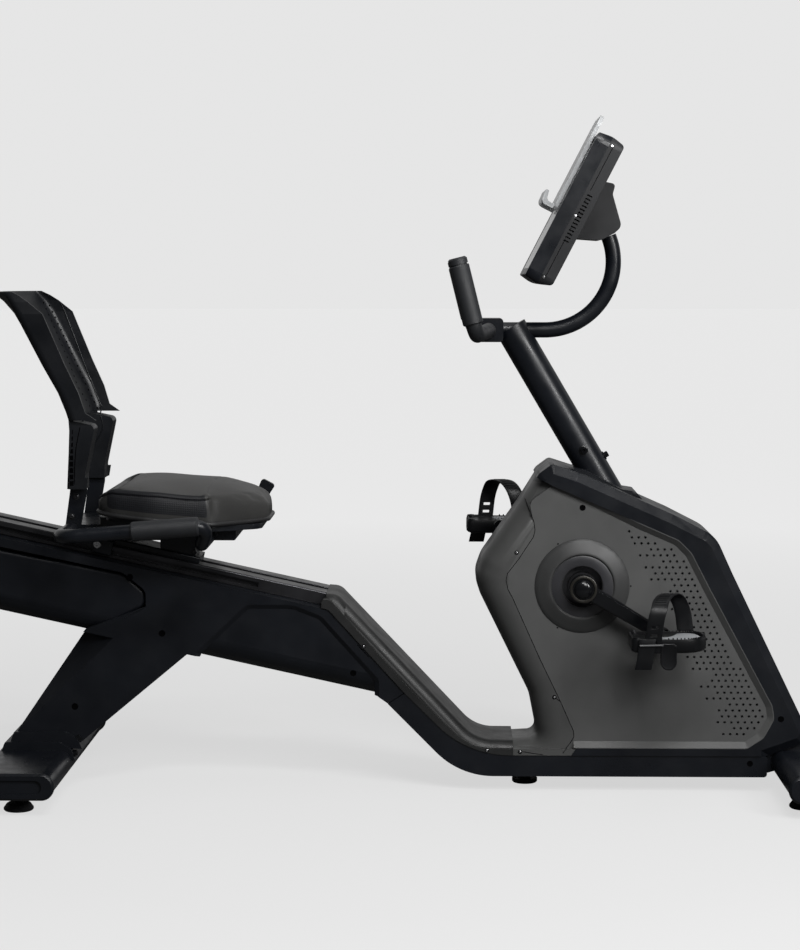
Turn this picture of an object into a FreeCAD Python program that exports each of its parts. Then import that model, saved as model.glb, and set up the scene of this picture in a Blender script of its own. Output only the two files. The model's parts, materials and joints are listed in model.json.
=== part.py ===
import FreeCAD, Part
import math
import os

# Recumbent exercise bike, in millimetres.
# +X points forward from the seat to the console, +Y to the rider's left, +Z up.
# The origin is on the floor, at the middle of the machine's length and width.

V = FreeCAD.Vector

# Overall reach on the floor
half_length = 823.0
stabilizer_half_length = 300.0
stabilizer_depth = 146.0
front_stabilizer_depth = 84.0
stabilizer_height = 45.0
stabilizer_base = 33.0
stabilizer_wall = 3.0
rear_overhang = 140.0
front_overhang = 81.0
end_cap_length = 11.0
leveler_inset = 55.0
front_leveler_inset = 100.0
leveler_radius = 27.0
wheel_radius = 20.0
wheel_width = 18.0
wheel_floor_gap = 4.0
wheel_inset = 34.0
wheel_pin_radius = 4.0

rear_stabilizer_x = rear_overhang - half_length
front_stabilizer_x = half_length - front_overhang

# Seat rail and rear beam
rail_slope = 12.35
rail_front_x = -134.0
rail_front_top = 371.0
rail_width = 108.0
rail_height = 26.0
rail_slot_width = 26.0
rail_slot_depth = 16.0
beam_half_width = 62.0
beam_depth = 170.0
beam_round = 38.0
side_cover_thickness = 26.0
sunk_depth = 6.0
leg_bevel_depth = 44.0
elbow_x = -129.0
rail_groove_end = -259.0

# Low step-through beam
low_beam_half_width = 89.0
low_beam_floor_gap = 30.0
low_beam_height = 40.0
low_beam_front_x = front_stabilizer_x - 52
step_cover_half_width = 91.0
step_body_half_width = 81.0
step_cover_front_x = 216.0
step_round = 20.0
lip_height = 12.0
centre_foot_x = 241.0

# Drive housing
crank_x = 343.0
crank_z = 389.0
housing_half_width = 92.0
housing_wall = 4.0
housing_bevel = 16.0
panel_half_width = 83.0
flare_width = 12.0
wrap_round = 46.0
hole_radius = 2.6
hole_pitch = 12.57
hole_row_pitch = 11.2
hole_row_shift = 5.27
dish_radius = 88.0
dish_rise = 12.5
dish_hole_radius = 37.0
flywheel_radius = 116.0
flywheel_thickness = 34.0
fly_arm_inner = 20.0

# Crank set and pedals
crank_length = 170.0
crank_angle = -30.5
crank_arm_inner = 112.0
crank_arm_thickness = 16.0
axle_radius = 10.0
spindle_radius = 7.0
running_gap = 0.08
pedal_inner = 140.0
pedal_width = 96.0
pedal_length = 130.0
pedal_thickness = 24.0
strap_thickness = 2.5
strap_width = 30.0
strap_height = 94.0

# Mast, neck and handlebar
mast_radius = 30.0
mast_lean = 30.5
mast_foot_x = 372.0
mast_foot_z = 593.0
mast_length = 318.0
neck_radius = 14.5
neck_bend = 127.0
neck_rise_angle = 22.0
bar_radius = 14.0
bar_half_width = 282.0
grip_radius = 18.0
grip_length = 112.0
grip_lean = 14.0

# Console
console_lean = 27.3
console_length = 288.0
console_thickness = 53.0
console_half_width = 150.0
bezel_thickness = 27.0
screen_thickness = 3.0
tray_thickness = 7.0

# Seat
seat_half_width = 200.0
seat_pan_thickness = 10.0
back_half_width = 150.0
back_wall = 5.0
handle_half_width = 260.0
handle_radius = 13.0
handle_grip_radius = 17.5
post_spread = 104.0
post_thickness = 8.0

seat_gap = 0.3


def rail_top(x):
    """Height of the rail's top face at x."""
    return rail_front_top + (rail_front_x - x) * math.tan(math.radians(rail_slope))


def side(y):
    return lambda a, b: V(a, y, b)


def plan(z):
    return lambda a, b: V(a, b, z)


def section(x):
    return lambda a, b: V(x, a, b)


def corner(before, here, after, radius):
    """Start, middle and end of the arc that rounds one corner."""
    to_before = (before - here).normalize()
    to_after = (after - here).normalize()
    half = to_before.getAngle(to_after) / 2
    room = 0.48 * min(here.distanceToPoint(before), here.distanceToPoint(after))
    reach = min(radius / math.tan(half), room)
    radius = reach * math.tan(half)
    middle = (to_before + to_after).normalize()
    centre = here + middle * (radius / math.sin(half))
    return here + to_before * reach, centre - middle * radius, here + to_after * reach


def outline(corners, place):
    """Closed wire through corners (a, b, radius), each rounded by its radius."""
    points = [place(a, b) for a, b, radius in corners]
    edges = []
    ends = []
    for index, point in enumerate(points):
        radius = corners[index][2]
        if radius > 0:
            before = points[index - 1]
            after = points[(index + 1) % len(points)]
            ends.append(corner(before, point, after, radius))
        else:
            ends.append((point, None, point))
    for index, (start, middle, stop) in enumerate(ends):
        if middle is not None:
            edges.append(Part.Arc(start, middle, stop).toShape())
        following = ends[(index + 1) % len(ends)][0]
        if stop.distanceToPoint(following) > 1e-6:
            edges.append(Part.LineSegment(stop, following).toShape())
    return Part.Wire(edges)


def around(x, z, corners):
    """Corners given as offsets from a point."""
    return [(x + a, z + b, radius) for a, b, radius in corners]


def shrunk(corners, distance):
    """The corners moved so that every side shifts inward by the distance."""
    turn = 0
    for index, (a, b, _) in enumerate(corners):
        turn += corners[index - 1][0] * b - a * corners[index - 1][1]
    inward = 1 if turn > 0 else -1
    moved = []
    for index, (a, b, radius) in enumerate(corners):
        before = corners[index - 1]
        after = corners[(index + 1) % len(corners)]
        arriving = V(a - before[0], b - before[1], 0).normalize()
        leaving = V(after[0] - a, after[1] - b, 0).normalize()
        middle = (arriving + leaving).normalize()
        reach = distance * inward / arriving.dot(middle)
        bend = inward * (arriving.x * leaving.y - arriving.y * leaving.x)
        grown = radius - distance if bend > 0 else radius + distance
        moved.append((a - middle.y * reach, b + middle.x * reach, max(grown, 1) if radius else 0))
    return moved


def slab(corners, y_low, y_high):
    """Side outline carried across from y_low to y_high."""
    return Part.Face(outline(corners, side(y_low))).extrude(V(0, y_high - y_low, 0))


def plate(corners, z_low, z_high):
    """Plan outline carried up from z_low to z_high."""
    return Part.Face(outline(corners, plan(z_low))).extrude(V(0, 0, z_high - z_low))


def oval(depth, height, x, z):
    """Corners of a flat oval, round at both ends."""
    x_low = x - depth / 2
    x_high = x + depth / 2
    bend = height * 0.46
    return [(x_low, z, bend), (x_high, z, bend), (x_high, z + height, bend), (x_low, z + height, bend)]


def mirrored(shape):
    return shape.mirror(V(0, 0, 0), V(0, 1, 0))


def pair(shape):
    return Part.makeCompound([shape, mirrored(shape)])


def rod(start, stop, radius):
    axis = stop - start
    return Part.makeCylinder(radius, axis.Length, start, axis)


def turned(start, axis, profile):
    """Solid of revolution from (distance along the axis, radius) corners."""
    points = [V(radius, 0, along) for along, radius in profile]
    body = Part.Face(Part.makePolygon(points + points[:1])).revolve(V(0, 0, 0), V(0, 0, 1), 360)
    body.Placement = FreeCAD.Placement(start, FreeCAD.Rotation(V(0, 0, 1), axis))
    return body


def tube_path(points, radii):
    """Wire of straight runs joined by tangent arcs at the inner points."""
    edges = []
    last = points[0]
    for index in range(1, len(points) - 1):
        start, middle, stop = corner(points[index - 1], points[index], points[index + 1], radii[index - 1])
        if last.distanceToPoint(start) > 1e-6:
            edges.append(Part.LineSegment(last, start).toShape())
        edges.append(Part.Arc(start, middle, stop).toShape())
        last = stop
    edges.append(Part.LineSegment(last, points[-1]).toShape())
    return Part.Wire(edges)


def bent_tube(points, radii, radius):
    """Round bar along a path of runs and arcs."""
    ring = Part.Wire(Part.Circle(points[0], points[1] - points[0], radius).toShape())
    return tube_path(points, radii).makePipeShell([ring], True, False)


def edges_where(shape, test):
    return [edge for edge in shape.Edges if test(edge)]


def softened(shape, radius, test):
    """The shape with the chosen edges rounded."""
    chosen = edges_where(shape, test)
    return shape.makeFillet(radius, chosen)


def save(name, shape):
    shape.exportStep("parts/" + name + ".step")
    print(name, "solids", len(shape.Solids), "volume cm3", round(shape.Volume / 1000, 1), shape.isValid())


# Rear beam: a deep sloping box with a bent nose, under side covers that run down the leg
beam_rear_x = -half_length
cover_half_width = beam_half_width + side_cover_thickness
leg_crease = [(-471, 347, 0), (rear_stabilizer_x + 45, 185, 0)]
beam_underside = [(-512, 326, 30), (-545, 308, 20), (-587, 300, 0)]


def beam_corners():
    return [
        (beam_rear_x, rail_top(beam_rear_x) - rail_height, 10),
        (elbow_x, rail_top(elbow_x) - rail_height, 18),
        (13, 187, 0),
        (-18, 166, 0),
        (-38, rail_top(-38) - beam_depth, 0),
        (beam_rear_x, rail_top(beam_rear_x) - beam_depth, 30),
    ]


def round_under(shape, half):
    """The shape kept inside the beam's section, whose long lower corners are rounded."""
    low = -beam_depth * math.cos(math.radians(rail_slope))
    profile = outline([(-half, 200, 0), (half, 200, 0), (half, low, beam_round), (-half, low, beam_round)], section(-600))
    return shape.common(along_rail(Part.Face(profile).extrude(V(1200, 0, 0)), -400))


def rear_beam():
    half = beam_half_width
    return round_under(slab(beam_corners(), -half, half), cover_half_width - sunk_depth)


def leg_corners():
    """Side outline of the leg, from inside the beam to the rear foot."""
    x = rear_stabilizer_x
    return [(-583, 306, 0), (-460, 352, 0), (-330, 300, 0), (-393, 259, 30), (x + 80, 84, 0), (x + 43, 106, 0),
            (x - 34, 106, 0), (x - 26, 120, 0), (-589, 299, 0)]


def leg_bevel():
    """Space behind the sloping plane that thins the leg's rear edge."""
    top, low = [V(x, -cover_half_width, z) for x, z, _ in leg_crease]
    edge = V(-589, leg_bevel_depth - cover_half_width, 297)
    normal = (edge - top).cross(low - top)
    block = Part.makeBox(900, 900, 300, V(-450, -450, 0))
    block.Placement = FreeCAD.Placement(top, FreeCAD.Rotation(V(0, 0, 1), normal))
    x = rear_stabilizer_x
    zone = leg_crease[:1] + beam_underside + [(x - 90, 310, 0), (x - 90, 40, 0), (x + 90, 40, 0)]
    return block.common(slab(zone, -cover_half_width - 1, -8))


def side_cover():
    """Moulded cover on the side of the beam and leg, with a rounded band and a sunk panel."""
    inner = -beam_half_width
    outer = -cover_half_width
    low = rail_top(beam_rear_x) - beam_depth
    body = slab(shrunk(beam_corners(), 0.5), outer, inner)
    band_front = [(-512, 412, 40), (-470, 378, 20), (-470, 346, 0)]
    band_zone = [(beam_rear_x - 10, 480, 0)] + band_front + beam_underside + [(-620, 270, 0), (beam_rear_x - 10, 270, 0)]
    band = slab([(beam_rear_x + 8, 468, 12), (-513, 410, 40), (-472, 376, 20), (-472, 348, 16), (-513, 328, 30),
                 (-546, 310, 20), (-588, 301, 60), (beam_rear_x + 8, low + 1, 12)], outer + 7, inner)
    band = round_under(softened(band, 8, lambda edge: edge.BoundBox.YMax < outer + 7.1), cover_half_width - 7)
    leg = slab(leg_corners(), outer, inner).cut(leg_bevel())
    zone = [(-388, 200, 0), (-378, 262, 0), (-282, 353, 26), (-196, 353, 60), (-142, 332, 30), (-34, 212, 14), (-34, 100, 0)]
    wires = [outline(shrunk(zone, -1), side(outer - 1)), outline(shrunk(zone, 9), side(outer + sunk_depth)),
             outline(shrunk(zone, 9), side(inner + 1))]
    floor = slab(shrunk(zone, 9), outer + sunk_depth, inner)
    sunk = Part.makeLoft(wires, True, True).cut(round_under(floor, cover_half_width - sunk_depth))
    return body.cut(slab(band_zone, outer - 1, inner + 1)).fuse([band, leg]).cut(sunk).removeSplitter()


def seat_rail():
    """Aluminium rail with a channel along its top and a groove in each side, cut upright at its rear end."""
    length = (rail_front_x - beam_rear_x) / math.cos(math.radians(rail_slope)) + rail_height
    half = rail_width / 2
    profile = outline([
        (-half, -rail_height, 3), (half, -rail_height, 3), (half, 0, 3),
        (rail_slot_width / 2, 0, 1), (rail_slot_width / 2, -rail_slot_depth, 1),
        (-rail_slot_width / 2, -rail_slot_depth, 1), (-rail_slot_width / 2, 0, 1), (-half, 0, 3),
    ], section(0))
    bar = Part.Face(profile).extrude(V(-length, 0, 0))
    bar.rotate(V(0, 0, 0), V(0, 1, 0), rail_slope)
    bar.translate(V(rail_front_x, 0, rail_front_top))
    groove = Part.makeBox(900, 10, 9, V(-900, -half - 1, -18))
    groove = along_rail(groove, rail_groove_end)
    bar = bar.cut(groove).cut(mirrored(groove))
    return bar.common(slab([(beam_rear_x, 300, 0), (0, 300, 0), (0, 600, 0), (beam_rear_x, 600, 0)], -half, half))


def rear_leg():
    """Steel leg between the covers, splayed from the beam to the rear foot."""
    bevel = leg_bevel()
    return slab(leg_corners(), -beam_half_width, beam_half_width).cut(bevel).cut(mirrored(bevel))


def rear_foot():
    """Stepped casting that saddles the rear stabilizer."""
    x = rear_stabilizer_x
    low = slab([(x - 65, 60, 0), (x + 79, 60, 0), (x + 72, 80, 8), (x + 50, 94, 12), (x - 52, 94, 4)], -104, 104)
    high = slab([(x - 44, 90, 0), (x + 92, 80, 0), (x + 84, 98, 10), (x + 62, 112, 16), (x - 36, 112, 3)], -97, 97)
    return low.fuse(high).removeSplitter()


def stabilizer(x, depth):
    half = stabilizer_half_length
    outer = slab(oval(depth, stabilizer_height, x, stabilizer_base), -half, half)
    inset = stabilizer_wall
    hollow = slab(
        oval(depth - 2 * inset, stabilizer_height - 2 * inset, x, stabilizer_base + inset),
        -half - 1, half + 1)
    return outer.cut(hollow)


def end_cap(x, depth):
    """Plastic cap with a sunk oval in its face."""
    start = -stabilizer_half_length
    cap = slab(oval(depth + 4, stabilizer_height + 4, x, stabilizer_base - 2), start - end_cap_length, start)
    cap = cap.makeChamfer(4, edges_where(cap, lambda edge: edge.BoundBox.YMax < start - end_cap_length + 0.01))
    sunk = slab(
        oval(depth - 40, stabilizer_height - 20, x, stabilizer_base + 10),
        start - end_cap_length - 1, start - end_cap_length + 4)
    return cap.cut(sunk)


def leveler(x, y):
    """Rubber foot on a threaded stem under the stabilizer."""
    top = leveler_radius - 5
    return turned(V(x, y, 0), V(0, 0, 1), [
        (0, 0), (0, leveler_radius - 2), (2, leveler_radius), (5, leveler_radius), (12, top), (14, top - 3),
        (14, 7), (stabilizer_base, 7), (stabilizer_base, 0)])


# Low beam between the rear beam and the front foot
low_beam_top = low_beam_floor_gap + low_beam_height


def low_beam_corners():
    floor = low_beam_floor_gap
    top = low_beam_top
    return [(-18, 166, 0), (116.5, floor, 150), (low_beam_front_x, floor, 6), (low_beam_front_x, top, 6),
            (131, top, 190), (13, 187, 0)]


def low_beam():
    half = low_beam_half_width
    return slab(low_beam_corners(), -half, half)


def step_form():
    """Grey cover from the rail's end to the housing: a rounded body over a lip that follows the beam's edge."""
    reach = step_cover_front_x
    top = low_beam_top
    body = slab([(rail_front_x + 0.3, 370.6, 0), (-112, 369, 34), (147.5, 95, 184), (reach, 94.5, 0), (reach, 0, 0),
                 (60, 0, 0), (rail_front_x + 0.3, 200, 0)], -step_body_half_width, step_body_half_width)
    body = softened(body, step_round, lambda edge: edge.BoundBox.YLength < 0.01 and edge.BoundBox.ZMin > 94
                    and edge.BoundBox.XLength > 1 and edge.BoundBox.XMin > rail_front_x)
    lip = slab([(-142, 300, 0), (-142, 362, 6), (-127, 363, 14), (22, 195.3, 0), (136, top + lip_height, 178),
                (reach, top + lip_height, 0), (reach, 0, 0), (0, 0, 0)], -step_cover_half_width, step_cover_half_width)
    under = slab([(-200, -20, 0), (-200, rail_top(-200) - rail_height + 0.2, 0),
                  (elbow_x, rail_top(elbow_x) - rail_height + 0.2, 18), (13, 187.2, 0), (131, top + 0.2, 190),
                  (400, top + 0.2, 0), (400, -20, 0)], -200, 200)
    return body.fuse(lip).cut(under)


def elbow_side():
    """Space on the rear side of the seam between the elbow's cap and the step cover."""
    return slab([(-200, 200, 0), (-200, 420, 0), (-94, 420, 0), (-97.5, 347, 0), (-103, 312, 0), (-103, 200, 0)], -200, 200)


def step_cover():
    """Grey cover along the low beam, sweeping from the elbow into the housing."""
    return step_form().cut(elbow_side()).removeSplitter()


def beam_cap():
    """Cover over the elbow where the rail ends and the beam turns down."""
    return step_form().common(elbow_side()).removeSplitter()


def centre_foot():
    return turned(V(centre_foot_x, 0, 0), V(0, 0, 1), [
        (0, 0), (0, 22), (2, 24), (8, 24), (8, 12), (low_beam_floor_gap, 12), (low_beam_floor_gap, 0)])


# Drive housing: a grey body inside a wider black band, both hollow, split where the real panels meet
housing_base = low_beam_top + 0.2


def housing_corners():
    """Side outline of the whole housing."""
    upper = around(crank_x, crank_z, [
        (-81, -271, 14), (-97, -207, 60), (-189, -20, 60), (-200, 14, 60), (-187, 51, 60), (-119, 148, 60),
        (-81, 209, 16), (-57, 227, 10), (-7, 211, 30), (169, 133, 40), (247, 93, 60), (279, 23, 50)])
    x = front_stabilizer_x
    front = [(x + 26, 112, 12), (x + 12, 92, 12), (x - 48, housing_base, 0), (crank_x - 81, housing_base, 0)]
    return upper + front


def wrap_corners():
    """Outline of the rear wrap and its foot, run on past both ends, so that its rounding has no end."""
    rear = around(crank_x, crank_z, [
        (-97, -207, 60), (-189, -20, 60), (-200, 14, 60), (-187, 51, 60), (-119, 148, 60), (-49, 261, 0), (200, 261, 0)])
    reach = step_cover_front_x + 0.3
    return [(reach, 0, 0), (reach, 93, 0), (crank_x - 80, 95.5, 16)] + rear + [(crank_x + 200, 0, 0)]


def panel_front():
    """Top, front and bottom edges of the recess that holds the flat panel."""
    x = front_stabilizer_x
    return around(crank_x, crank_z, [(109, 117, 30), (178, 87, 30), (202, 63, 30), (234, 1, 40)]) + [
        (x - 44, 166, 22), (x - 40, 140, 22), (x - 60, 104, 22), (x - 90, housing_base + 14, 16)]


def panel_seam():
    """Seam between the flat panel and the rear wrap, from the floor up."""
    return [(crank_x - 14, housing_base + 14, 0)] + around(crank_x, crank_z, [
        (-13, -274, 24), (-137, -5, 20), (-137, 29, 20), (-89, 113, 20), (-99, 157, 20), (-55, 187, 0)])


def panel_region():
    return panel_front() + panel_seam()


def recess_region():
    """Side outline of panel and rear wrap together."""
    base = housing_base - 5
    return around(crank_x, crank_z, [(-283, 301, 0), (-55, 187, 0)]) + panel_front() + [
        (crank_x - 9, housing_base + 14, 10), (crank_x - 22, base, 0), (crank_x - 283, base, 0)]


def rounded_wrap(half, corners, radius):
    body = slab(corners, -half, half)
    x = crank_x + 100
    return softened(body, radius, lambda edge: edge.BoundBox.YLength < 0.01 and edge.BoundBox.XMax < x
                    and edge.BoundBox.ZLength > 1 and edge.BoundBox.XLength > 0.5)


def housing_wrap():
    """Rear part of the grey body: a wall that curls round from panel to panel."""
    wall = housing_wall
    outer = rounded_wrap(panel_half_width, wrap_corners(), wrap_round)
    inner = rounded_wrap(panel_half_width - wall, shrunk(wrap_corners(), wall), wrap_round - wall)
    base = housing_base
    reach = step_cover_front_x + 0.3
    lip = slab([(reach, base, 0), (reach, low_beam_top + lip_height, 0), (crank_x, low_beam_top + lip_height, 0),
                (crank_x, base, 0)], -step_cover_half_width, step_cover_half_width)
    floor = slab(around(crank_x, 0, [(-300, base, 0), (300, base, 0), (300, 800, 0), (-300, 800, 0)]), -200, 200)
    seam = panel_seam()
    region = recess_region()[:2] + seam[::-1] + recess_region()[-3:]
    return outer.fuse(lip).cut(inner).common(floor).common(slab(region, -200, 200)).removeSplitter()


def bevelled(corners, half, size):
    """Side outline carried across the middle plane, sloping in at both faces."""
    slope = 0.7 * size
    wires = [outline(shrunk(corners, size), side(-half)), outline(corners, side(slope - half)),
             outline(corners, side(half - slope)), outline(shrunk(corners, size), side(half))]
    return Part.makeLoft(wires, True, True)


def housing_band():
    """Black band that runs round the top, front and bottom of the housing."""
    half = housing_half_width
    wall = housing_wall
    corners = housing_corners()
    under = [(x, z - 2 * housing_bevel, 0) for x, z, _ in corners[-2:]]
    outer = bevelled(corners[:-1] + under, half, housing_bevel)
    above = slab([(-800, housing_base, 0), (900, housing_base, 0), (900, 800, 0), (-800, 800, 0)], -half, half)
    outer = outer.common(above)
    inner = bevelled(shrunk(corners, wall), half - wall, housing_bevel)
    rim = slab(shrunk(recess_region(), -wall), -half, half)
    core = slab(around(crank_x, 0, [(-43, 0, 0), (700, 0, 0), (700, 800, 0), (-43, 800, 0)]),
                wall - panel_half_width, panel_half_width - wall)
    cavity = inner.cut(rim.cut(core))
    return outer.cut(slab(recess_region(), -200, 200)).cut(cavity)


def perforations():
    """Field of small holes in slanting rows, cut ragged toward the crank."""
    field = Part.Face(outline(shrunk(panel_region(), flare_width + 8), side(0)))
    reaches = (7, 6, 7, 4, 5, 7, 5, 7, 4, 6, 6, 7, 5, 7, 4)
    holes = []
    for row in range(-7, 29):
        reach = 7 if row < -3 else reaches[row % len(reaches)]
        for step in range(reach + 1):
            x = crank_x + 206 + hole_row_shift * row - hole_pitch * step
            z = crank_z + 35 - hole_row_pitch * row
            if field.isInside(V(x, 0, z), 0.01, True):
                points = []
                for turn in range(6):
                    angle = math.radians(60 * turn)
                    points.append(V(x + hole_radius * math.cos(angle), 0, z + hole_radius * math.sin(angle)))
                face = Part.Face(Part.makePolygon(points + points[:1]))
                face.translate(V(0, -panel_half_width - 1, 0))
                holes.append(face.extrude(V(0, housing_wall + 2, 0)))
    return holes


def housing_panel():
    """Right panel: a flat plate sunk in the band, with a flared rim and a field of holes."""
    half = housing_half_width
    plate_body = slab(panel_region(), -half, housing_wall - panel_half_width)
    rim = panel_front()
    wide = rim + [(crank_x - 400, housing_base + 14, 0), (crank_x - 400, crank_z + 371, 0)]
    wires = []
    for shift, y in ((0.6, -half - 0.6), (flare_width, -panel_half_width)):
        wires.append(outline(shrunk(wide, shift), side(y)))
    flare = Part.makeLoft(wires, True, True)
    hole = Part.makeCylinder(dish_hole_radius, 40, V(crank_x, -half - 5, crank_z), V(0, 1, 0))
    return plate_body.cut(flare).cut(hole).cut(Part.makeCompound(perforations()))


def dish():
    """Round dished cover about the crank, with a raised ring."""
    ring = 60
    return turned(V(crank_x, -panel_half_width, crank_z), V(0, -1, 0), [
        (0, dish_hole_radius), (0, dish_radius), (1, dish_radius), (dish_rise - 1, ring + 4), (dish_rise, ring),
        (dish_rise - 2.5, ring - 2), (dish_rise - 2.5, dish_hole_radius + 1.5), (dish_rise - 4, dish_hole_radius)])


def drive_frame():
    """Upright inside the housing that carries the crank bearings and the flywheel."""
    top = low_beam_top + housing_wall + 0.2
    post = slab([(crank_x - 24, top, 0), (crank_x + 44, top, 0), (crank_x + 20, crank_z, 0),
                 (crank_x - 20, crank_z, 0)], -26, 26)
    reach = panel_half_width + 9
    shell = turned(V(crank_x, 0, crank_z), V(0, 1, 0), [
        (-reach, 0), (-reach, 26), (-72, 26), (-72, 46), (-66, 46), (-66, 26), (66, 26), (66, 46), (72, 46), (72, 26),
        (reach, 26), (reach, 0)])
    arm = slab([(crank_x, crank_z - 14, 0), (fly_x, fly_z - 14, 8), (fly_x, fly_z + 14, 8),
                (crank_x, crank_z + 14, 0)], -fly_arm_inner - 8, -fly_arm_inner)
    bore = Part.makeCylinder(axle_radius + running_gap, 200, V(crank_x, -100, crank_z), V(0, 1, 0))
    return post.fuse([shell, arm, mirrored(arm)]).removeSplitter().cut(bore)


fly_x = crank_x + 172
fly_z = crank_z - 49


def flywheel():
    start = V(fly_x, -flywheel_thickness / 2, fly_z)
    wheel = Part.makeCylinder(flywheel_radius, flywheel_thickness, start, V(0, 1, 0))
    hub = Part.makeCylinder(16, 2 * fly_arm_inner, V(fly_x, -fly_arm_inner, fly_z), V(0, 1, 0))
    return wheel.fuse(hub).removeSplitter()


# Crank set: positions follow the crank angle
def crank_end(sign):
    angle = math.radians(crank_angle)
    return (crank_x + sign * crank_length * math.cos(angle), crank_z + sign * crank_length * math.sin(angle))


def crank_axle():
    half = crank_arm_inner + crank_arm_thickness + 4
    return Part.makeCylinder(axle_radius, 2 * half, V(crank_x, -half, crank_z), V(0, 1, 0))


def crank_arm():
    """Right arm with hub boss, tapered shank and pedal eye; built level and turned to its angle."""
    inner = -crank_arm_inner
    thick = crank_arm_thickness
    boss = turned(V(0, inner + 6, 0), V(0, -1, 0), [
        (0, axle_radius), (0, 25), (thick + 4, 25), (thick + 8, 20), (thick + 8, axle_radius)])
    eye = turned(V(crank_length, inner, 0), V(0, -1, 0), [(0, 0), (0, 15), (thick - 2, 15), (thick, 13), (thick, 0)])
    shank = slab([(0, -15, 0), (crank_length, -11, 0), (crank_length, 11, 0), (0, 15, 0)], inner - thick, inner)
    shank = shank.makeChamfer(3, edges_where(shank, lambda edge: edge.BoundBox.YMax < inner - thick + 0.1))
    spindle = Part.makeCylinder(spindle_radius, pedal_inner + pedal_width - 12 + inner - thick,
                                V(crank_length, inner - thick, 0), V(0, -1, 0))
    arm = boss.fuse([eye, shank, spindle]).removeSplitter()
    arm = arm.cut(Part.makeCylinder(axle_radius, 80, V(0, -90, 0), V(0, -1, 0)))
    arm.rotate(V(0, 0, 0), V(0, 1, 0), -crank_angle)
    arm.translate(V(crank_x, 0, crank_z))
    return arm


def pedal():
    """Right pedal body about its spindle: side rails, ribs, toe plate and counterweight."""
    inner = -pedal_inner
    outer = inner - pedal_width
    half = pedal_length / 2
    deck = plate([(-half, outer, 14), (half, outer, 14), (half, inner, 14), (-half, inner, 14)],
                 -pedal_thickness / 2, pedal_thickness / 2)
    for x_low, x_high in ((-half + 9, -16), (16, half - 9)):
        well = plate([(x_low, outer + 10, 5), (x_high, outer + 10, 5), (x_high, inner - 10, 5),
                      (x_low, inner - 10, 5)], -pedal_thickness, pedal_thickness)
        deck = deck.cut(well)
    middle = (half + 7) / 2
    for x in (-middle, middle):
        rib = Part.makeBox(6, pedal_width - 19, pedal_thickness - 6,
                           V(x - 3, outer + 9.5, -pedal_thickness / 2 + 2))
        deck = deck.fuse(rib)
    toe = plate([(half - 6, outer + 8, 4), (half + 10, outer + 16, 14), (half + 10, inner - 16, 14),
                 (half - 6, inner - 8, 4)], -2, 8)
    low = -pedal_thickness / 2
    weight = slab([(-10, low + 3, 0), (17, low + 3, 0), (17, low - 34, 12), (-10, low - 34, 12)],
                  outer + 22, inner - 22)
    bore = Part.makeCylinder(spindle_radius + running_gap, pedal_width + 20, V(0, inner + 10, 0), V(0, -1, 0))
    return deck.fuse([toe, weight]).removeSplitter().cut(bore)


def strap():
    """Foot strap: from the outer rail up, across to the front and down to the deck, its tail hanging."""
    outer = -pedal_inner - pedal_width - seat_gap - strap_thickness / 2
    inner = -pedal_inner - 8
    top = strap_height
    deck = pedal_thickness / 2
    path = [
        (-30, outer, -deck - 2), (-27, outer - 2, deck), (-20, outer - 5, top * 0.55), (-11, outer + 3, top * 0.82),
        (-2, outer + 21, top * 0.96), (8, (outer + inner) / 2, top), (19, inner - 19, top * 0.93),
        (28, inner - 5, top * 0.75), (35, inner + 1, top * 0.5), (39, inner, deck + seat_gap),
    ]
    band = strip(path)
    tail = strip([(-38, outer - strap_thickness, deck), (-42, outer - strap_thickness, -24),
                  (-46, outer - strap_thickness - 3, -43)])
    return band, tail


def strip(path):
    """Flat band along a path of (x, y, z), its width along X."""
    points = [V(*point) for point in path]
    half = strap_width / 2
    wires = []
    for index, point in enumerate(points):
        before = points[max(index - 1, 0)]
        after = points[min(index + 1, len(points) - 1)]
        along = after - before
        across = V(0, along.z, -along.y).normalize() * (strap_thickness / 2)
        wide = V(half, 0, 0)
        ring = [point - wide - across, point + wide - across, point + wide + across, point - wide + across]
        wires.append(Part.makePolygon(ring + ring[:1]))
    return Part.makeLoft(wires, True, True)


def at_pedal(shape, sign):
    """Carry a right pedal piece to its spindle, or to the far side for the left one."""
    x, z = crank_end(sign)
    copy = shape.copy()
    if sign < 0:
        copy = mirrored(copy)
    copy.translate(V(x, 0, z))
    return copy


# Mast, neck and handlebar
def mast_point(along):
    angle = math.radians(mast_lean)
    return V(mast_foot_x - along * math.sin(angle), 0, mast_foot_z + along * math.cos(angle))


mast_head = mast_point(mast_length)
neck_height = mast_head.z - 5
bar_x = mast_head.x - 42.6
neck_bend_x = mast_head.x + 64.4


def mast():
    return rod(mast_point(-70), mast_point(mast_length), mast_radius)


def mast_collar():
    """Low boot on the housing around the mast's foot."""
    boot = slab(around(mast_foot_x, mast_foot_z, [
        (-56, -12, 0), (-44, 13, 6), (-22, 9, 10), (46, -27, 6), (72, -31, 6), (90, -52, 0), (60, -60, 0)]), -60, 60)
    rounded = plate([(mast_foot_x - 60, -46, 14), (mast_foot_x + 90, -46, 24), (mast_foot_x + 90, 46, 24),
                     (mast_foot_x - 60, 46, 14)], 0, 900)
    return boot.common(rounded)


def neck_end():
    angle = math.radians(neck_rise_angle)
    return V(neck_bend_x + neck_bend * math.cos(angle), 0, neck_height + neck_bend * (1 + math.sin(angle)))


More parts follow.
